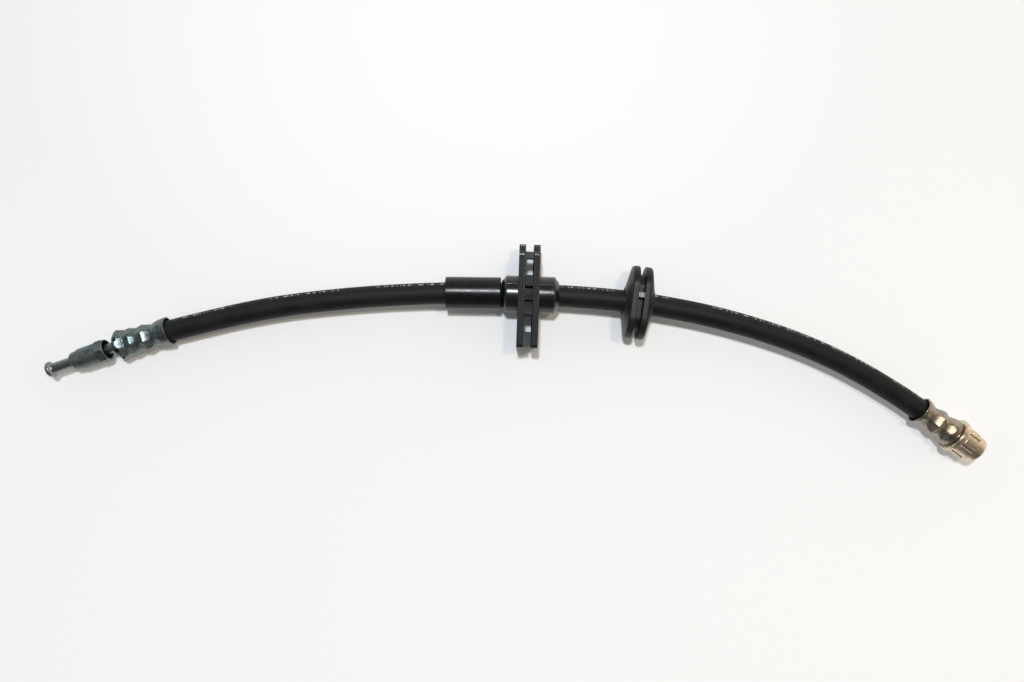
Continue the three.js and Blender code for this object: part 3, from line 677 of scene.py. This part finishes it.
nutCorner, nutFlat = nut["acrossFlats"] / math.sqrt(3), nut["acrossFlats"] / 2
nutFrom, nutTo, pilotFrom = nut["from"], nut["to"], nut["to"] - nut["pilotLength"]
thread, pilot, nutBore = nut["threadRadius"], nut["pilotRadius"], nut["boreRadius"]
nutHexFrom, nutHexTo = nut["from"] + nut["hexChamfer"], nut["hexTo"] - nut["hexChamfer"]
nutHexRun = np.linspace(nutHexFrom + 0.2, nutHexTo - 0.2, nut["hexRows"])
# The faces in the nut's bore take the dark painted shade.
addTurned(
    "tube_nut_body",
    filleted([
        (nutBore + 0.35, nutFrom, 0.1),
        (nutFlat - 0.1, nutFrom, 0.15),
        (nutCorner - 0.1, nutHexFrom, 0.2),
        *[(nutCorner, along, 0) for along in nutHexRun],
        (nutCorner - 0.1, nutHexTo, 0.2),
        (nutFlat - 0.1, nut["hexTo"], 0.15),
        (thread, nut["hexTo"], 0.25),
        (thread, pilotFrom - nut["threadChamfer"], 0.4),
        (thread - nut["threadChamfer"], pilotFrom, 0.3),
        (pilot, pilotFrom, 0.3),
        (pilot, nutTo - 2 * nut["pilotChamfer"], 0.3),
        (pilot - nut["pilotChamfer"], nutTo, 0.2),
        (nut["holeRadius"], nutTo, 0.1),
        (nut["holeRadius"], nutFrom + nut["boreDepth"], 0.2),
        (nutBore, nutFrom + nut["boreDepth"] - 1, 0.3),
        (nutBore, nutFrom + 0.4, 0.15),
    ]),
    nut["sides"], leftSeat, nutSteel, "nut", "tube_nut", "nut_steel",
    rule=hexagonal, moved=bent, inner=nutBorePaintedShade, innerRows=nutBoreRows,
)
print("tube end and nut made")


femaleEnd = {
    "shoulderRadius": 4.6,
    "shoulderEnd": 18.0,
    "neckRadius": 3.7,
    "ringRadius": 8.55,
    "ringFrom": 20.0,
    "ringTo": 22.2,
    "waistRadius": 6.6,
    "noseFrom": 23.0,
    "tip": 34.2,
    "noseRadius": 6.85,
    "noseEndRadius": 6.65,
    "padRadius": 7.35,
    "padFrom": 23.4,
    "padTo": 29.4,
    "padSlope": 0.35,
    "padSlopeTurn": 0.05,
    "pads": 8,
    "padShare": 0.72,
    "rowPitch": 0.12,
    "tipRadius": 5.4,
    "tipRound": 1.5,
    "boreRadius": 4.5,
    "boreChamfer": 0.4,
    "boreDepth": 8.6,
    "boreEndRadius": 3.9,
    "boreConeLength": 2,
    "sides": 256,
}


# Pads: the nose's radius grows by the pad height times a soft step along and a soft step round.
def padded(angle, along, radius):
    step = 2 * math.pi / femaleEnd["pads"]
    off = np.abs(angle - step * np.round(angle / step))
    across = np.clip((step * femaleEnd["padShare"] / 2 - off) / femaleEnd["padSlopeTurn"], 0, 1)
    slope = femaleEnd["padSlope"]
    ends = np.clip((along - femaleEnd["padFrom"] + slope) / slope, 0, 1)
    ends = ends * np.clip((femaleEnd["padTo"] + slope - along) / slope, 0, 1)
    height = (femaleEnd["padRadius"] - femaleEnd["noseRadius"]) * across * ends
    onNose = (radius > femaleEnd["noseRadius"] - 0.05) & (along > femaleEnd["noseFrom"])
    return np.where(onNose, radius + height, radius)


tip, tipFrom = femaleEnd["tip"], femaleEnd["tip"] - femaleEnd["tipRound"]
neck, ring, waist, bore = (femaleEnd[part + "Radius"] for part in ("neck", "ring", "waist", "bore"))
ringFrom, ringTo, noseFrom = (femaleEnd[place] for place in ("ringFrom", "ringTo", "noseFrom"))
noseRun = np.arange(noseFrom + 0.15, tip - 1.7, femaleEnd["rowPitch"])
noseTaper = np.interp(noseRun, [femaleEnd["padTo"] + 0.3, tipFrom],
                      [femaleEnd["noseRadius"], femaleEnd["noseEndRadius"]])
tipAngle = np.linspace(0, math.pi / 2, 9)
tipDepth = femaleEnd["noseEndRadius"] - femaleEnd["tipRadius"]
boreEnd = tip - femaleEnd["boreDepth"]
# The female end takes the paler painted-light copy of the yellow zinc.
addTurned(
    "female_end_body",
    filleted([
        *nippleCorners(hose["rightInsertion"], femaleEnd["shoulderRadius"], femaleEnd["shoulderEnd"]),
        (neck, femaleEnd["shoulderEnd"], 0.2),
        (neck, ringFrom, 0.2),
        (ring, ringFrom, 0.45),
        (ring, ringTo, 0.45),
        (waist, ringTo, 0.25),
        (waist, noseFrom, 0.1),
        *[(radius, along, 0) for radius, along in zip(noseTaper, noseRun)],
        *[(femaleEnd["tipRadius"] + tipDepth * c, tipFrom + femaleEnd["tipRound"] * s, 0)
          for c, s in zip(np.cos(tipAngle), np.sin(tipAngle))],
        (bore + femaleEnd["boreChamfer"], tip, 0.1),
        (bore, tip - femaleEnd["boreChamfer"], 0.1),
        (bore, boreEnd, 0.3),
        (femaleEnd["boreEndRadius"], boreEnd, 0.2),
        (nipple["bore"], boreEnd - femaleEnd["boreConeLength"], 0.2),
    ]),
    femaleEnd["sides"], rightSeat, yellowZincPaintedLight, "hose_assembly", "female_end", "yellow_zinc_fitting",
    rule=padded,
)
print("female end made")


# Black rubber or plastic: soft clouds between two blacks, which also shift its gloss, and a grain
# of the given size and depth in mm
def makeBlack(name, low, high, roughness, grainSize, grainDepth, specular=0.5, cloudSize=6):
    material, tree, shader = startMaterial(name)
    place = addNode(tree, "ShaderNodeTexCoord").outputs["Object"]
    cloud = noiseNode(tree, place, cloudSize, 3)
    grain = noiseNode(tree, place, grainSize, 3, 0.6)
    setSockets(tree, shader, {
        "Base Color": rampNode(tree, cloud, [(0.35, low), (0.65, high)]),
        "Roughness": rangeNode(tree, cloud, 0.3, 0.7, *roughness),
        "Normal": bumpNode(tree, grain, grainDepth),
        "Specular IOR Level": specular,
    })
    return material


# Sleeve: smooth satin black with one clean streak of light
sleevePvc = makeBlack("satinPvcSleeve", "#0f0f10", "#151516", (0.24, 0.32), 0.8, 0.015, 0.3)
# Clip's hub and its rounded edges: glossy as moulded, so they catch thin bright lines
clipNylon = makeBlack("mouldedNylonClip", "#0d1011", "#141718", (0.2, 0.26), 0.5, 0.012, 0.6)
edgeNylon = makeBlack("polishedNylonEdges", "#0d1011", "#141718", (0.18, 0.22), 0.5, 0.005, 0.8)
# Plates and core: a fine texture that stays dark
plateNylon = makeBlack("texturedNylonPlates", "#0e1316", "#15191c", (0.5, 0.6), 0.4, 0.03, 0.22)
# Webs and ribs: dark grey, lighter than the plates as painted light, so that their tops read as lit
webNylonPaintedLight = makeBlack("paintedLightNylonWebs", "#2b3334", "#3f4848", (0.5, 0.6), 0.4, 0.05, 0.25)
# Grommet: soft dull rubber; the bridge in its groove is painted pale as a painted highlight
grommetRubber = makeBlack("mouldedEpdmGrommet", "#101214", "#1a1c1d", (0.36, 0.46), 0.6, 0.05, 0.32)
bridgePaintedHighlight = makeBlack("paintedHighlightRubberBridge", "#4a4f4f", "#a9afaf", (0.5, 0.6), 0.5, 0.1, 0.4, 0.7)

clipAlong = 196.6
hubHalf = 13.8
sleeve = {"inner": 5.55, "outer": 7.85, "half": 13.3, "gap": 0.3, "edge": 0.5, "sides": 128}
clipSeat = seatOnHose(clipAlong)
sleeveSeat = seatOnHose(clipAlong - hubHalf - sleeve["gap"] - sleeve["half"])
addTurned(
    "sleeve_tube",
    filleted([
        (sleeve["inner"], -sleeve["half"], 0.2),
        (sleeve["outer"], -sleeve["half"], sleeve["edge"]),
        (sleeve["outer"], sleeve["half"], sleeve["edge"]),
        (sleeve["inner"], sleeve["half"], 0.2),
    ]),
    sleeve["sides"], sleeveSeat, sleevePvc, "hose_assembly", "protective_sleeve", "sleeve_plastic",
)
print("sleeve made")


clip = {
    "hubRadius": 8.9,
    "hubEndRadius": 6.1,
    "hubChamfer": 2.2,
    "hubRows": 51,
    "waist": 3.1,
    "bore": 5.55,
    "shift": -0.8,
    "gap": 3.8,
    "plate": 3.2,
    "halfHeight": 9.6,
    "reachUp": 19.8,
    "reachDown": 25.8,
    "edge": 0.4,
    "prongLength": 4.0,
    "prongHalfHeight": 4.5,
    "cornerFillets": (0.9, 0.3, 1.5),  # prong's end, prong's foot, plate
    "sink": 0.3,  # how far webs and core run into the plates
    "webLow": 5.2,
    "webTop": 8.4,
    "webEdge": 0.3,
    "upperWeb": 3.8,
    "upperNotch": 0.6,
    "lowerWeb": 7.7,
    "lowerInset": 0.5,
    "lowerNotch": (0.2, 1.4, 2.1),  # its two sides along the hose and its depth
    "core": (-8.8, 10.2, 8.7),  # its two ends across the hose and its half height
    "coreCuts": [(-2.8, 1.4, 3.1), (4.5, 2.8, 2.4)],  # place, width, depth
    "coreCrown": (1.6, 0.8, 0, -0.8, -1.6),
    "coreEdge": 0.1,
    "ribBands": [(-8.4, -3.8), (7.1, 9.9)],
    "ribs": 3,
    "ribPitch": 1.2,
    "ribWidth": 0.6,
    "ribHeight": 0.5,
    "ribEdge": 0.15,
    "partingAngle": -31,
    "partingHeight": 0.14,
    "partingHalf": 0.24,
    "sides": 360,
}


# Between the plates the hub is thinner, because the core stands there. Outside them a fine
# ridge marks the mould's parting, where the angle from the top lies within its width.
def hubSurface(angle, along, radius):
    fromTop = math.pi / 2 - angle
    fromTop = np.mod(fromTop + math.pi, 2 * math.pi) - math.pi
    outside = radius > clip["hubRadius"] - 0.3
    between = (np.abs(along - clip["shift"]) < clip["gap"] / 2 + 0.3) & outside
    change = -clip["waist"] * between
    for at in (clip["partingAngle"], clip["partingAngle"] + 180):
        near = np.abs(fromTop - math.radians(at)) * clip["hubRadius"]
        ridge = np.clip(1 - near / clip["partingHalf"], 0, 1)
        change = change + (outside & ~between) * clip["partingHeight"] * ridge
    return radius + change


clipPart = ("hose_assembly", "bracket_clip", "clip_plastic")
hubTop, hubEnd, hubEdge = clip["hubRadius"], clip["hubEndRadius"], hubHalf - clip["hubChamfer"]
hubRun = np.linspace(clip["shift"] - 5, clip["shift"] + 5, clip["hubRows"])
addTurned(
    "clip_hub",
    filleted([
        (clip["bore"], -hubHalf, 0.15),
        (hubEnd, -hubHalf, 0.2),
        (hubTop, -hubEdge, 0.6),
        *[(hubTop, along, 0) for along in hubRun],
        (hubTop, hubEdge, 0.6),
        (hubEnd, hubHalf, 0.2),
        (clip["bore"], hubHalf, 0.15),
    ]),
    clip["sides"], clipSeat, clipNylon, *clipPart,
    rule=hubSurface,
)


# Twice the area inside a closed outline, negative where it runs clockwise
def outlineArea(outline):
    return np.sum(outline[:, 0] * np.roll(outline[:, 1], -1) - outline[:, 1] * np.roll(outline[:, 0], -1))


# Moves each corner of a closed outline inward along the bisector of its two sides.
def insetOutline(outline, inset):
    before = outline - np.roll(outline, 1, axis=0)
    after = np.roll(outline, -1, axis=0) - outline
    before, after = (v / np.linalg.norm(v, axis=1)[:, None] for v in (before, after))
    normalBefore = np.stack([before[:, 1], -before[:, 0]], axis=1)
    normalAfter = np.stack([after[:, 1], -after[:, 0]], axis=1)
    cosine = np.sum(normalBefore * normalAfter, axis=1)[:, None]
    return outline - math.copysign(inset, outlineArea(outline)) * (normalBefore + normalAfter) / (1 + cosine)


rounding = {
    "points": 5,
    "hold": 1.15,  # how far past the rounded edge a face is held flat, as a share of the edge
}


# Each corner of a closed outline gets a holding point on either side, so that long faces
# shade flat.
def held(outline, reach):
    outline = np.asarray(outline, float)
    toBack, toNext = np.roll(outline, 1, axis=0) - outline, np.roll(outline, -1, axis=0) - outline
    back, ahead = (np.linalg.norm(v, axis=1)[:, None] for v in (toBack, toNext))
    before = outline + toBack / back * np.minimum(reach, back / 3)
    after = outline + toNext / ahead * np.minimum(reach, ahead / 3)
    return np.stack([before, outline, after], axis=1).reshape(-1, 2)


# An outline (x, z) pushed along +Y between two distances, its edges rounded by quarter circles.
# The corners are held wider than the edge's inset, so that no inset loop folds over.
def pushed(outline, low, high, edge):
    outline = held(outline, 1.3 * edge + 0.05)
    if outlineArea(outline) < 0:
        outline = outline[::-1]
    t = np.linspace(0, math.pi / 2, rounding["points"])
    hold = edge * rounding["hold"]
    insets = np.concatenate([[hold], edge * (1 - np.sin(t))])
    depths = np.concatenate([[0], edge * (1 - np.cos(t))])
    insets = np.concatenate([insets, [0], [0], insets[::-1]])
    along = np.concatenate([low + depths, [low + hold], [high - hold], high - depths[::-1]])
    loops = [np.insert(insetOutline(outline, i), 1, y, axis=1) for i, y in zip(insets, along)]
    count = len(outline)
    quads = gridFaces(len(loops), count, closeRows=False)
    last = (len(loops) - 1) * count
    return np.concatenate(loops), quads, [list(range(count))[::-1], list(range(last, last + count))]


# A pushed piece. Its faces that square to none of the three axes are edges, and take the
# second material where there is one.
def addPushed(name, outline, low, high, edge, seat, materials, body, node, slot):
    points, quads, caps = pushed(outline, low, high, edge)
    a, b, c, d = (points[quads[:, i]] for i in range(4))
    normal = np.cross(c - a, d - b)
    normal = np.abs(normal) / np.maximum(np.linalg.norm(normal, axis=1)[:, None], 1e-9)
    isEdge = (normal.max(axis=1) < 0.998) & (len(materials) > 1)
    faceMaterial = np.concatenate([isEdge, np.zeros(len(caps))]).astype(int)
    return addPiece(name, seat.place(points), quads, materials, body, node, slot, caps=caps,
                    faceMaterial=faceMaterial)


# A flange plate: a tall rectangle with cut corners and a narrower prong at its upper end
half, high, low = clip["halfHeight"], -clip["reachUp"], clip["reachDown"]
prongEnd, prongHalf = high - clip["prongLength"], clip["prongHalfHeight"]
atEnd, atFoot, atPlate = clip["cornerFillets"]
plateOutline = filleted([
    (prongEnd, -prongHalf, atEnd), (high, -prongHalf, atFoot), (high, -half, atPlate),
    (low, -half, atPlate), (low, half, atPlate),
    (high, half, atPlate), (high, prongHalf, atFoot), (prongEnd, prongHalf, atEnd),
])
gapHalf = clip["gap"] / 2
for name, side in (("clip_plate_left", -1), ("clip_plate_right", 1)):
    near, far = clip["shift"] + side * gapHalf, clip["shift"] + side * (gapHalf + clip["plate"])
    addPushed(name, plateOutline, min(near, far), max(near, far), clip["edge"], clipSeat,
              [plateNylon, edgeNylon], *clipPart)

webFrom, webTo = clip["shift"] - gapHalf - clip["sink"], clip["shift"] + gapHalf + clip["sink"]


# Webs stand on the X-Y plane: their outline (x, y) is pushed upward between the two heights.
def addWeb(name, outline):
    flat = [(x, -y) for x, y in outline]
    points, quads, caps = pushed(flat, clip["webLow"], clip["webTop"], clip["webEdge"])
    standing = np.stack([points[:, 0], -points[:, 2], points[:, 1]], axis=1)
    # The webs take the lighter painted-light nylon.
    addPiece(name, clipSeat.place(standing), quads, [webNylonPaintedLight],
             *clipPart, caps=caps)


# A cut in the core's top: down its far side and up its near side, each leaning a little
def coreCut(at, width, depth):
    half, lean, bottom = width / 2, 0.05, coreHalf - depth
    return [(at + half, coreHalf), (at + half - lean, bottom),
            (at - half + lean, bottom), (at - half, coreHalf)]


# The core between the plates: its outline (x, z) drops into the slot and the recess, and
# crowns where the round hub comes through. Rows of ribs stand on its top.
coreFrom, coreTo, coreHalf = clip["core"]
slot, recess = clip["coreCuts"]
addPushed("clip_core", [
    (coreFrom, -coreHalf), (coreTo, -coreHalf), (coreTo, coreHalf),
    *coreCut(*recess),
    *[(x, math.sqrt(clip["hubRadius"] ** 2 - x**2)) for x in clip["coreCrown"]],
    *coreCut(*slot),
    (coreFrom, coreHalf),
], webFrom, webTo, clip["coreEdge"], clipSeat, [plateNylon], *clipPart)
# The ribs take the lighter painted-light nylon too.
ribParts = []
ribFoot, ribTop = coreHalf - 0.5, coreHalf + clip["ribHeight"]
for ribFrom, ribTo in clip["ribBands"]:
    outline = [(ribFrom, ribFoot), (ribTo, ribFoot), (ribTo, ribTop), (ribFrom, ribTop)]
    for i in range(clip["ribs"]):
        middle = clip["shift"] + (i - (clip["ribs"] - 1) / 2) * clip["ribPitch"]
        sides = middle - clip["ribWidth"] / 2, middle + clip["ribWidth"] / 2
        ribParts.append(pushed(outline, *sides, clip["ribEdge"]))
ribCount = len(ribParts[0][0])
addPiece(
    "clip_core_ribs",
    clipSeat.place(np.concatenate([points for points, _, _ in ribParts])),
    np.concatenate([quads + i * ribCount for i, (_, quads, _) in enumerate(ribParts)]),
    [webNylonPaintedLight], *clipPart,
    caps=[[corner + i * ribCount for corner in cap]
          for i, (_, _, ribCaps) in enumerate(ribParts) for cap in ribCaps],
)
upperFrom, upperTo = -clip["reachUp"], -clip["reachUp"] + clip["upperWeb"]
addWeb("clip_upper_web", [
    (upperFrom, webFrom), (upperTo, webFrom), (upperTo, clip["shift"] - gapHalf),
    (upperTo - clip["upperNotch"], clip["shift"]),
    (upperTo, clip["shift"] + gapHalf), (upperTo, webTo), (upperFrom, webTo),
])
lowerFrom, lowerTo = clip["reachDown"] - clip["lowerWeb"], clip["reachDown"] - clip["lowerInset"]
notchFrom, notchTo, notchDepth = clip["lowerNotch"]
notchFrom, notchTo = clip["shift"] + notchFrom, clip["shift"] + notchTo
addWeb("clip_lower_web", [
    (lowerFrom, webFrom), (lowerTo, webFrom),
    (lowerTo, notchFrom), (lowerTo - notchDepth, notchFrom),
    (lowerTo - notchDepth, notchTo), (lowerTo, notchTo),
    (lowerTo, webTo), (lowerFrom, webTo),
])
print("clip made")


grommet = {
    "along": 248.7,
    "length": 35.2,
    "height": 20.8,
    "lip": 3.1,
    "groove": 2.8,
    "grooveDepth": 4.0,
    "cone": 2.6,
    "mouth": (13.0, 12.4),
    "bore": 5.55,
    "boreEdge": 0.25,
    "boreFlare": 1.03,
    "edge": 0.7,
    "bridge": (-3.2, 2.3),  # place and width
    "bridgeHalf": 2.2,
    "bridgeDrop": 0.3,
    "bridgeEdge": 0.25,
    "sides": 288,
}


# A stadium is two half circles joined by straights. Its points run evenly round its outline.
def stadium(width, height, sides):
    radius, shift = height / 2, width / 2 - height / 2
    straight, bend = 2 * shift, math.pi * radius
    run = (np.arange(sides) / sides) * (2 * straight + 2 * bend)
    parts = [run < bend, run < bend + straight, run < 2 * bend + straight]
    right, left = -math.pi / 2 + run / radius, math.pi / 2 + (run - bend - straight) / radius
    x = np.select(parts, [
        shift + radius * np.cos(right), shift - (run - bend), -shift + radius * np.cos(left),
    ], -shift + (run - 2 * bend - straight))
    z = np.select(parts, [radius * np.sin(right), radius, radius * np.sin(left)], -radius)
    return np.stack([x, z], axis=1)


# The grommet's profile is (inset from its outline, distance along): cone, lip, groove, lip, cone.
# Past the lip the inset grows the same way on both axes until the mouth, then shrinks to the bore.
def makeGrommet():
    lipTop = grommet["groove"] / 2 + grommet["lip"]
    mouthAt = lipTop + grommet["cone"]
    coneInset = (grommet["height"] - grommet["mouth"][1]) / 2
    side = [
        (coneInset, mouthAt, 0.3),
        (grommet["edge"] * 0.6, lipTop, 0.6),
        (0, lipTop - grommet["edge"], 0.5),
        (0, grommet["groove"] / 2, 0.35),
        (grommet["grooveDepth"], grommet["groove"] / 2, 0.4),
    ]
    corners = side + [(inset, -along, fillet) for inset, along, fillet in side[::-1]]
    # Two corners inside the mouths only steer the end fillets, and are dropped again.
    line = filleted([*corners, (coneInset + 0.6, -mouthAt, 0), (coneInset + 0.6, mouthAt, 0)])[:-2]
    sides = grommet["sides"]
    outer = stadium(grommet["length"], grommet["height"], sides)
    mouth = stadium(*grommet["mouth"], sides)
    angle = np.arctan2(mouth[:, 1], mouth[:, 0])
    bore = np.stack([np.cos(angle), np.sin(angle)], axis=1) * grommet["bore"]
    rings = []
    for inset, along in line:
        share = (inset - grommet["edge"]) / (coneInset - grommet["edge"])
        share = min(max(share, 0), 1) if abs(along) > lipTop - 0.4 else 0
        flat = stadium(grommet["length"] - 2 * inset, grommet["height"] - 2 * inset, sides)
        ring = flat * (1 - share) + mouth * share
        rings.append(np.insert(ring, 1, along, axis=1))
    boreAt, flared = mouthAt - grommet["boreEdge"], bore * grommet["boreFlare"]
    for ring, along in ((flared, -mouthAt), (bore, -boreAt), (bore, boreAt), (flared, mouthAt)):
        rings.append(np.insert(ring, 1, along, axis=1))
    points = grommetSeat.place(np.stack(rings).reshape(-1, 3))
    addPiece("grommet_body", points, gridFaces(len(rings), sides), [grommetRubber],
             "hose_assembly", "grommet", "grommet_rubber")


grommetSeat = seatOnHose(grommet["along"])
makeGrommet()
bridgeAt, bridgeWidth = grommet["bridge"]
bridgeFrom, bridgeTo = bridgeAt - bridgeWidth / 2, bridgeAt + bridgeWidth / 2
bridgeFoot = grommet["height"] / 2 - grommet["grooveDepth"] - 1
bridgeTop = grommet["height"] / 2 - grommet["bridgeDrop"]
# The bridge takes the pale painted highlight.
addPushed("grommet_bridge", [
    (bridgeFrom, bridgeFoot), (bridgeTo, bridgeFoot), (bridgeTo, bridgeTop), (bridgeFrom, bridgeTop),
], -grommet["bridgeHalf"], grommet["bridgeHalf"], grommet["bridgeEdge"], grommetSeat, [bridgePaintedHighlight],
          "hose_assembly", "grommet", "grommet_rubber")
print("grommet made")


# Floor: matt white card. The room is bright beyond the table and dim toward the viewer, cool
# on the left and warm on the right. A small flash stands above, and a weaker warm lamp to its
# right.
stage = {
    "floor": "#f6f6f7",
    "floorSize": 12.0,
    "horizon": 0.95,
    "overhead": 0.24,
    "towardViewer": 0.25,  # the share of its light that the room keeps on the viewer's side
    "rightBoost": 1.5,
    "roomLeft": "#dbe9f4",
    "roomRight": "#fff0da",
    "flashPower": 3.75,
    "flashColour": "#f4f9ff",
    "flashSize": 0.07,
    "flashPlace": (-0.04, 0.225, 0.75),
    "flashShare": 0.6,  # how much of the floor's light comes from the flash below it
    "floorGlow": 0.04,  # added everywhere, so that shadows stay grey
    "warmPower": 2.0,
    "warmColour": "#fff0d2",
    "warmSize": 0.12,
    "warmPlace": (0.36, 0.21, 1.05),
}


# A disk lamp turned toward the frame's origin
def addLamp(name, power, size, place, hexValue):
    lamp = bpy.data.lights.new(name, "AREA")
    lamp.energy = power
    lamp.shape = "DISK"
    lamp.size = size
    lamp.color = colour(hexValue)[:3]
    lampObject = bpy.data.objects.new(name, lamp)
    lampObject.location = place
    lampObject.rotation_euler = Vector(place).to_track_quat("Z", "Y").to_euler()
    bpy.context.scene.collection.objects.link(lampObject)


# The flash is near, so its light falls off with the cube of the distance on a flat floor. What
# it loses is given back as plain white that only the camera and reflections see.
def makeFloor():
    material, tree, shader = startMaterial("mattWhiteCard")
    place = addNode(tree, "ShaderNodeTexCoord").outputs["Object"]
    flashPlace = np.array(stage["flashPlace"])
    nearest = float(np.linalg.norm(flashPlace))
    away = addNode(tree, "ShaderNodeVectorMath", {0: place, 1: flashPlace.tolist()}, operation="DISTANCE")
    share = mathNode(tree, "POWER", mathNode(tree, "DIVIDE", nearest, away.outputs["Value"]), 3.0)
    lost = rangeNode(tree, share, 0, 1, stage["flashShare"] + stage["floorGlow"], stage["floorGlow"])
    ray = addNode(tree, "ShaderNodeLightPath").outputs
    seen = mathNode(tree, "MAXIMUM", ray["Is Camera Ray"], ray["Is Glossy Ray"])
    setSockets(tree, shader, {
        "Emission Strength": mathNode(tree, "MULTIPLY", lost, seen),
        "Emission Color": (1, 1, 1, 1),
        "Base Color": colour(stage["floor"]),
        "Roughness": 0.9,
        "Specular IOR Level": 0.1,
    })
    mesh = bpy.data.meshes.new("floor")
    size = stage["floorSize"] / 2
    corners = [(-size, -size, 0), (size, -size, 0), (size, size, 0), (-size, size, 0)]
    mesh.from_pydata(corners, [], [(0, 1, 2, 3)])
    mesh.materials.append(material)
    floor = bpy.data.objects.new("floor", mesh)
    bpy.context.scene.collection.objects.link(floor)


# The room's light falls from the horizon's to the overhead level, and is weaker toward the
# viewer. The camera itself sees the floor's own white.
def makeRoom():
    world = bpy.data.worlds.new("room")
    bpy.context.scene.world = world
    world.use_nodes = True
    tree = world.node_tree
    direction = addNode(tree, "ShaderNodeTexCoord").outputs["Generated"]
    parts = addNode(tree, "ShaderNodeSeparateXYZ", {"Vector": direction}).outputs
    level = rangeNode(tree, parts["Z"], 0.05, 0.75, stage["horizon"], stage["overhead"])
    side = rangeNode(tree, parts["Y"], -0.8, 0.1, stage["towardViewer"], 1)
    boost = rangeNode(tree, parts["X"], 0.1, 0.7, 1, stage["rightBoost"])
    light = mathNode(tree, "MULTIPLY", mathNode(tree, "MULTIPLY", level, side), boost)
    isCamera = addNode(tree, "ShaderNodeLightPath").outputs["Is Camera Ray"]
    across = rangeNode(tree, parts["X"], -0.8, 0.8, 0, 1)
    tint = mixNode(tree, across, colour(stage["roomLeft"]), colour(stage["roomRight"]))
    setSockets(tree, tree.nodes["Background"], {
        "Strength": addNode(tree, "ShaderNodeMix", {0: isCamera, 2: light, 3: 1.0}).outputs[0],
        "Color": mixNode(tree, isCamera, tint, colour(stage["floor"])),
    })


makeFloor()
makeRoom()
addLamp("flash", stage["flashPower"], stage["flashSize"], stage["flashPlace"], stage["flashColour"])
addLamp("warmLamp", stage["warmPower"], stage["warmSize"], stage["warmPlace"], stage["warmColour"])
bpy.context.scene.view_settings.view_transform = "Standard"
print("stage made")
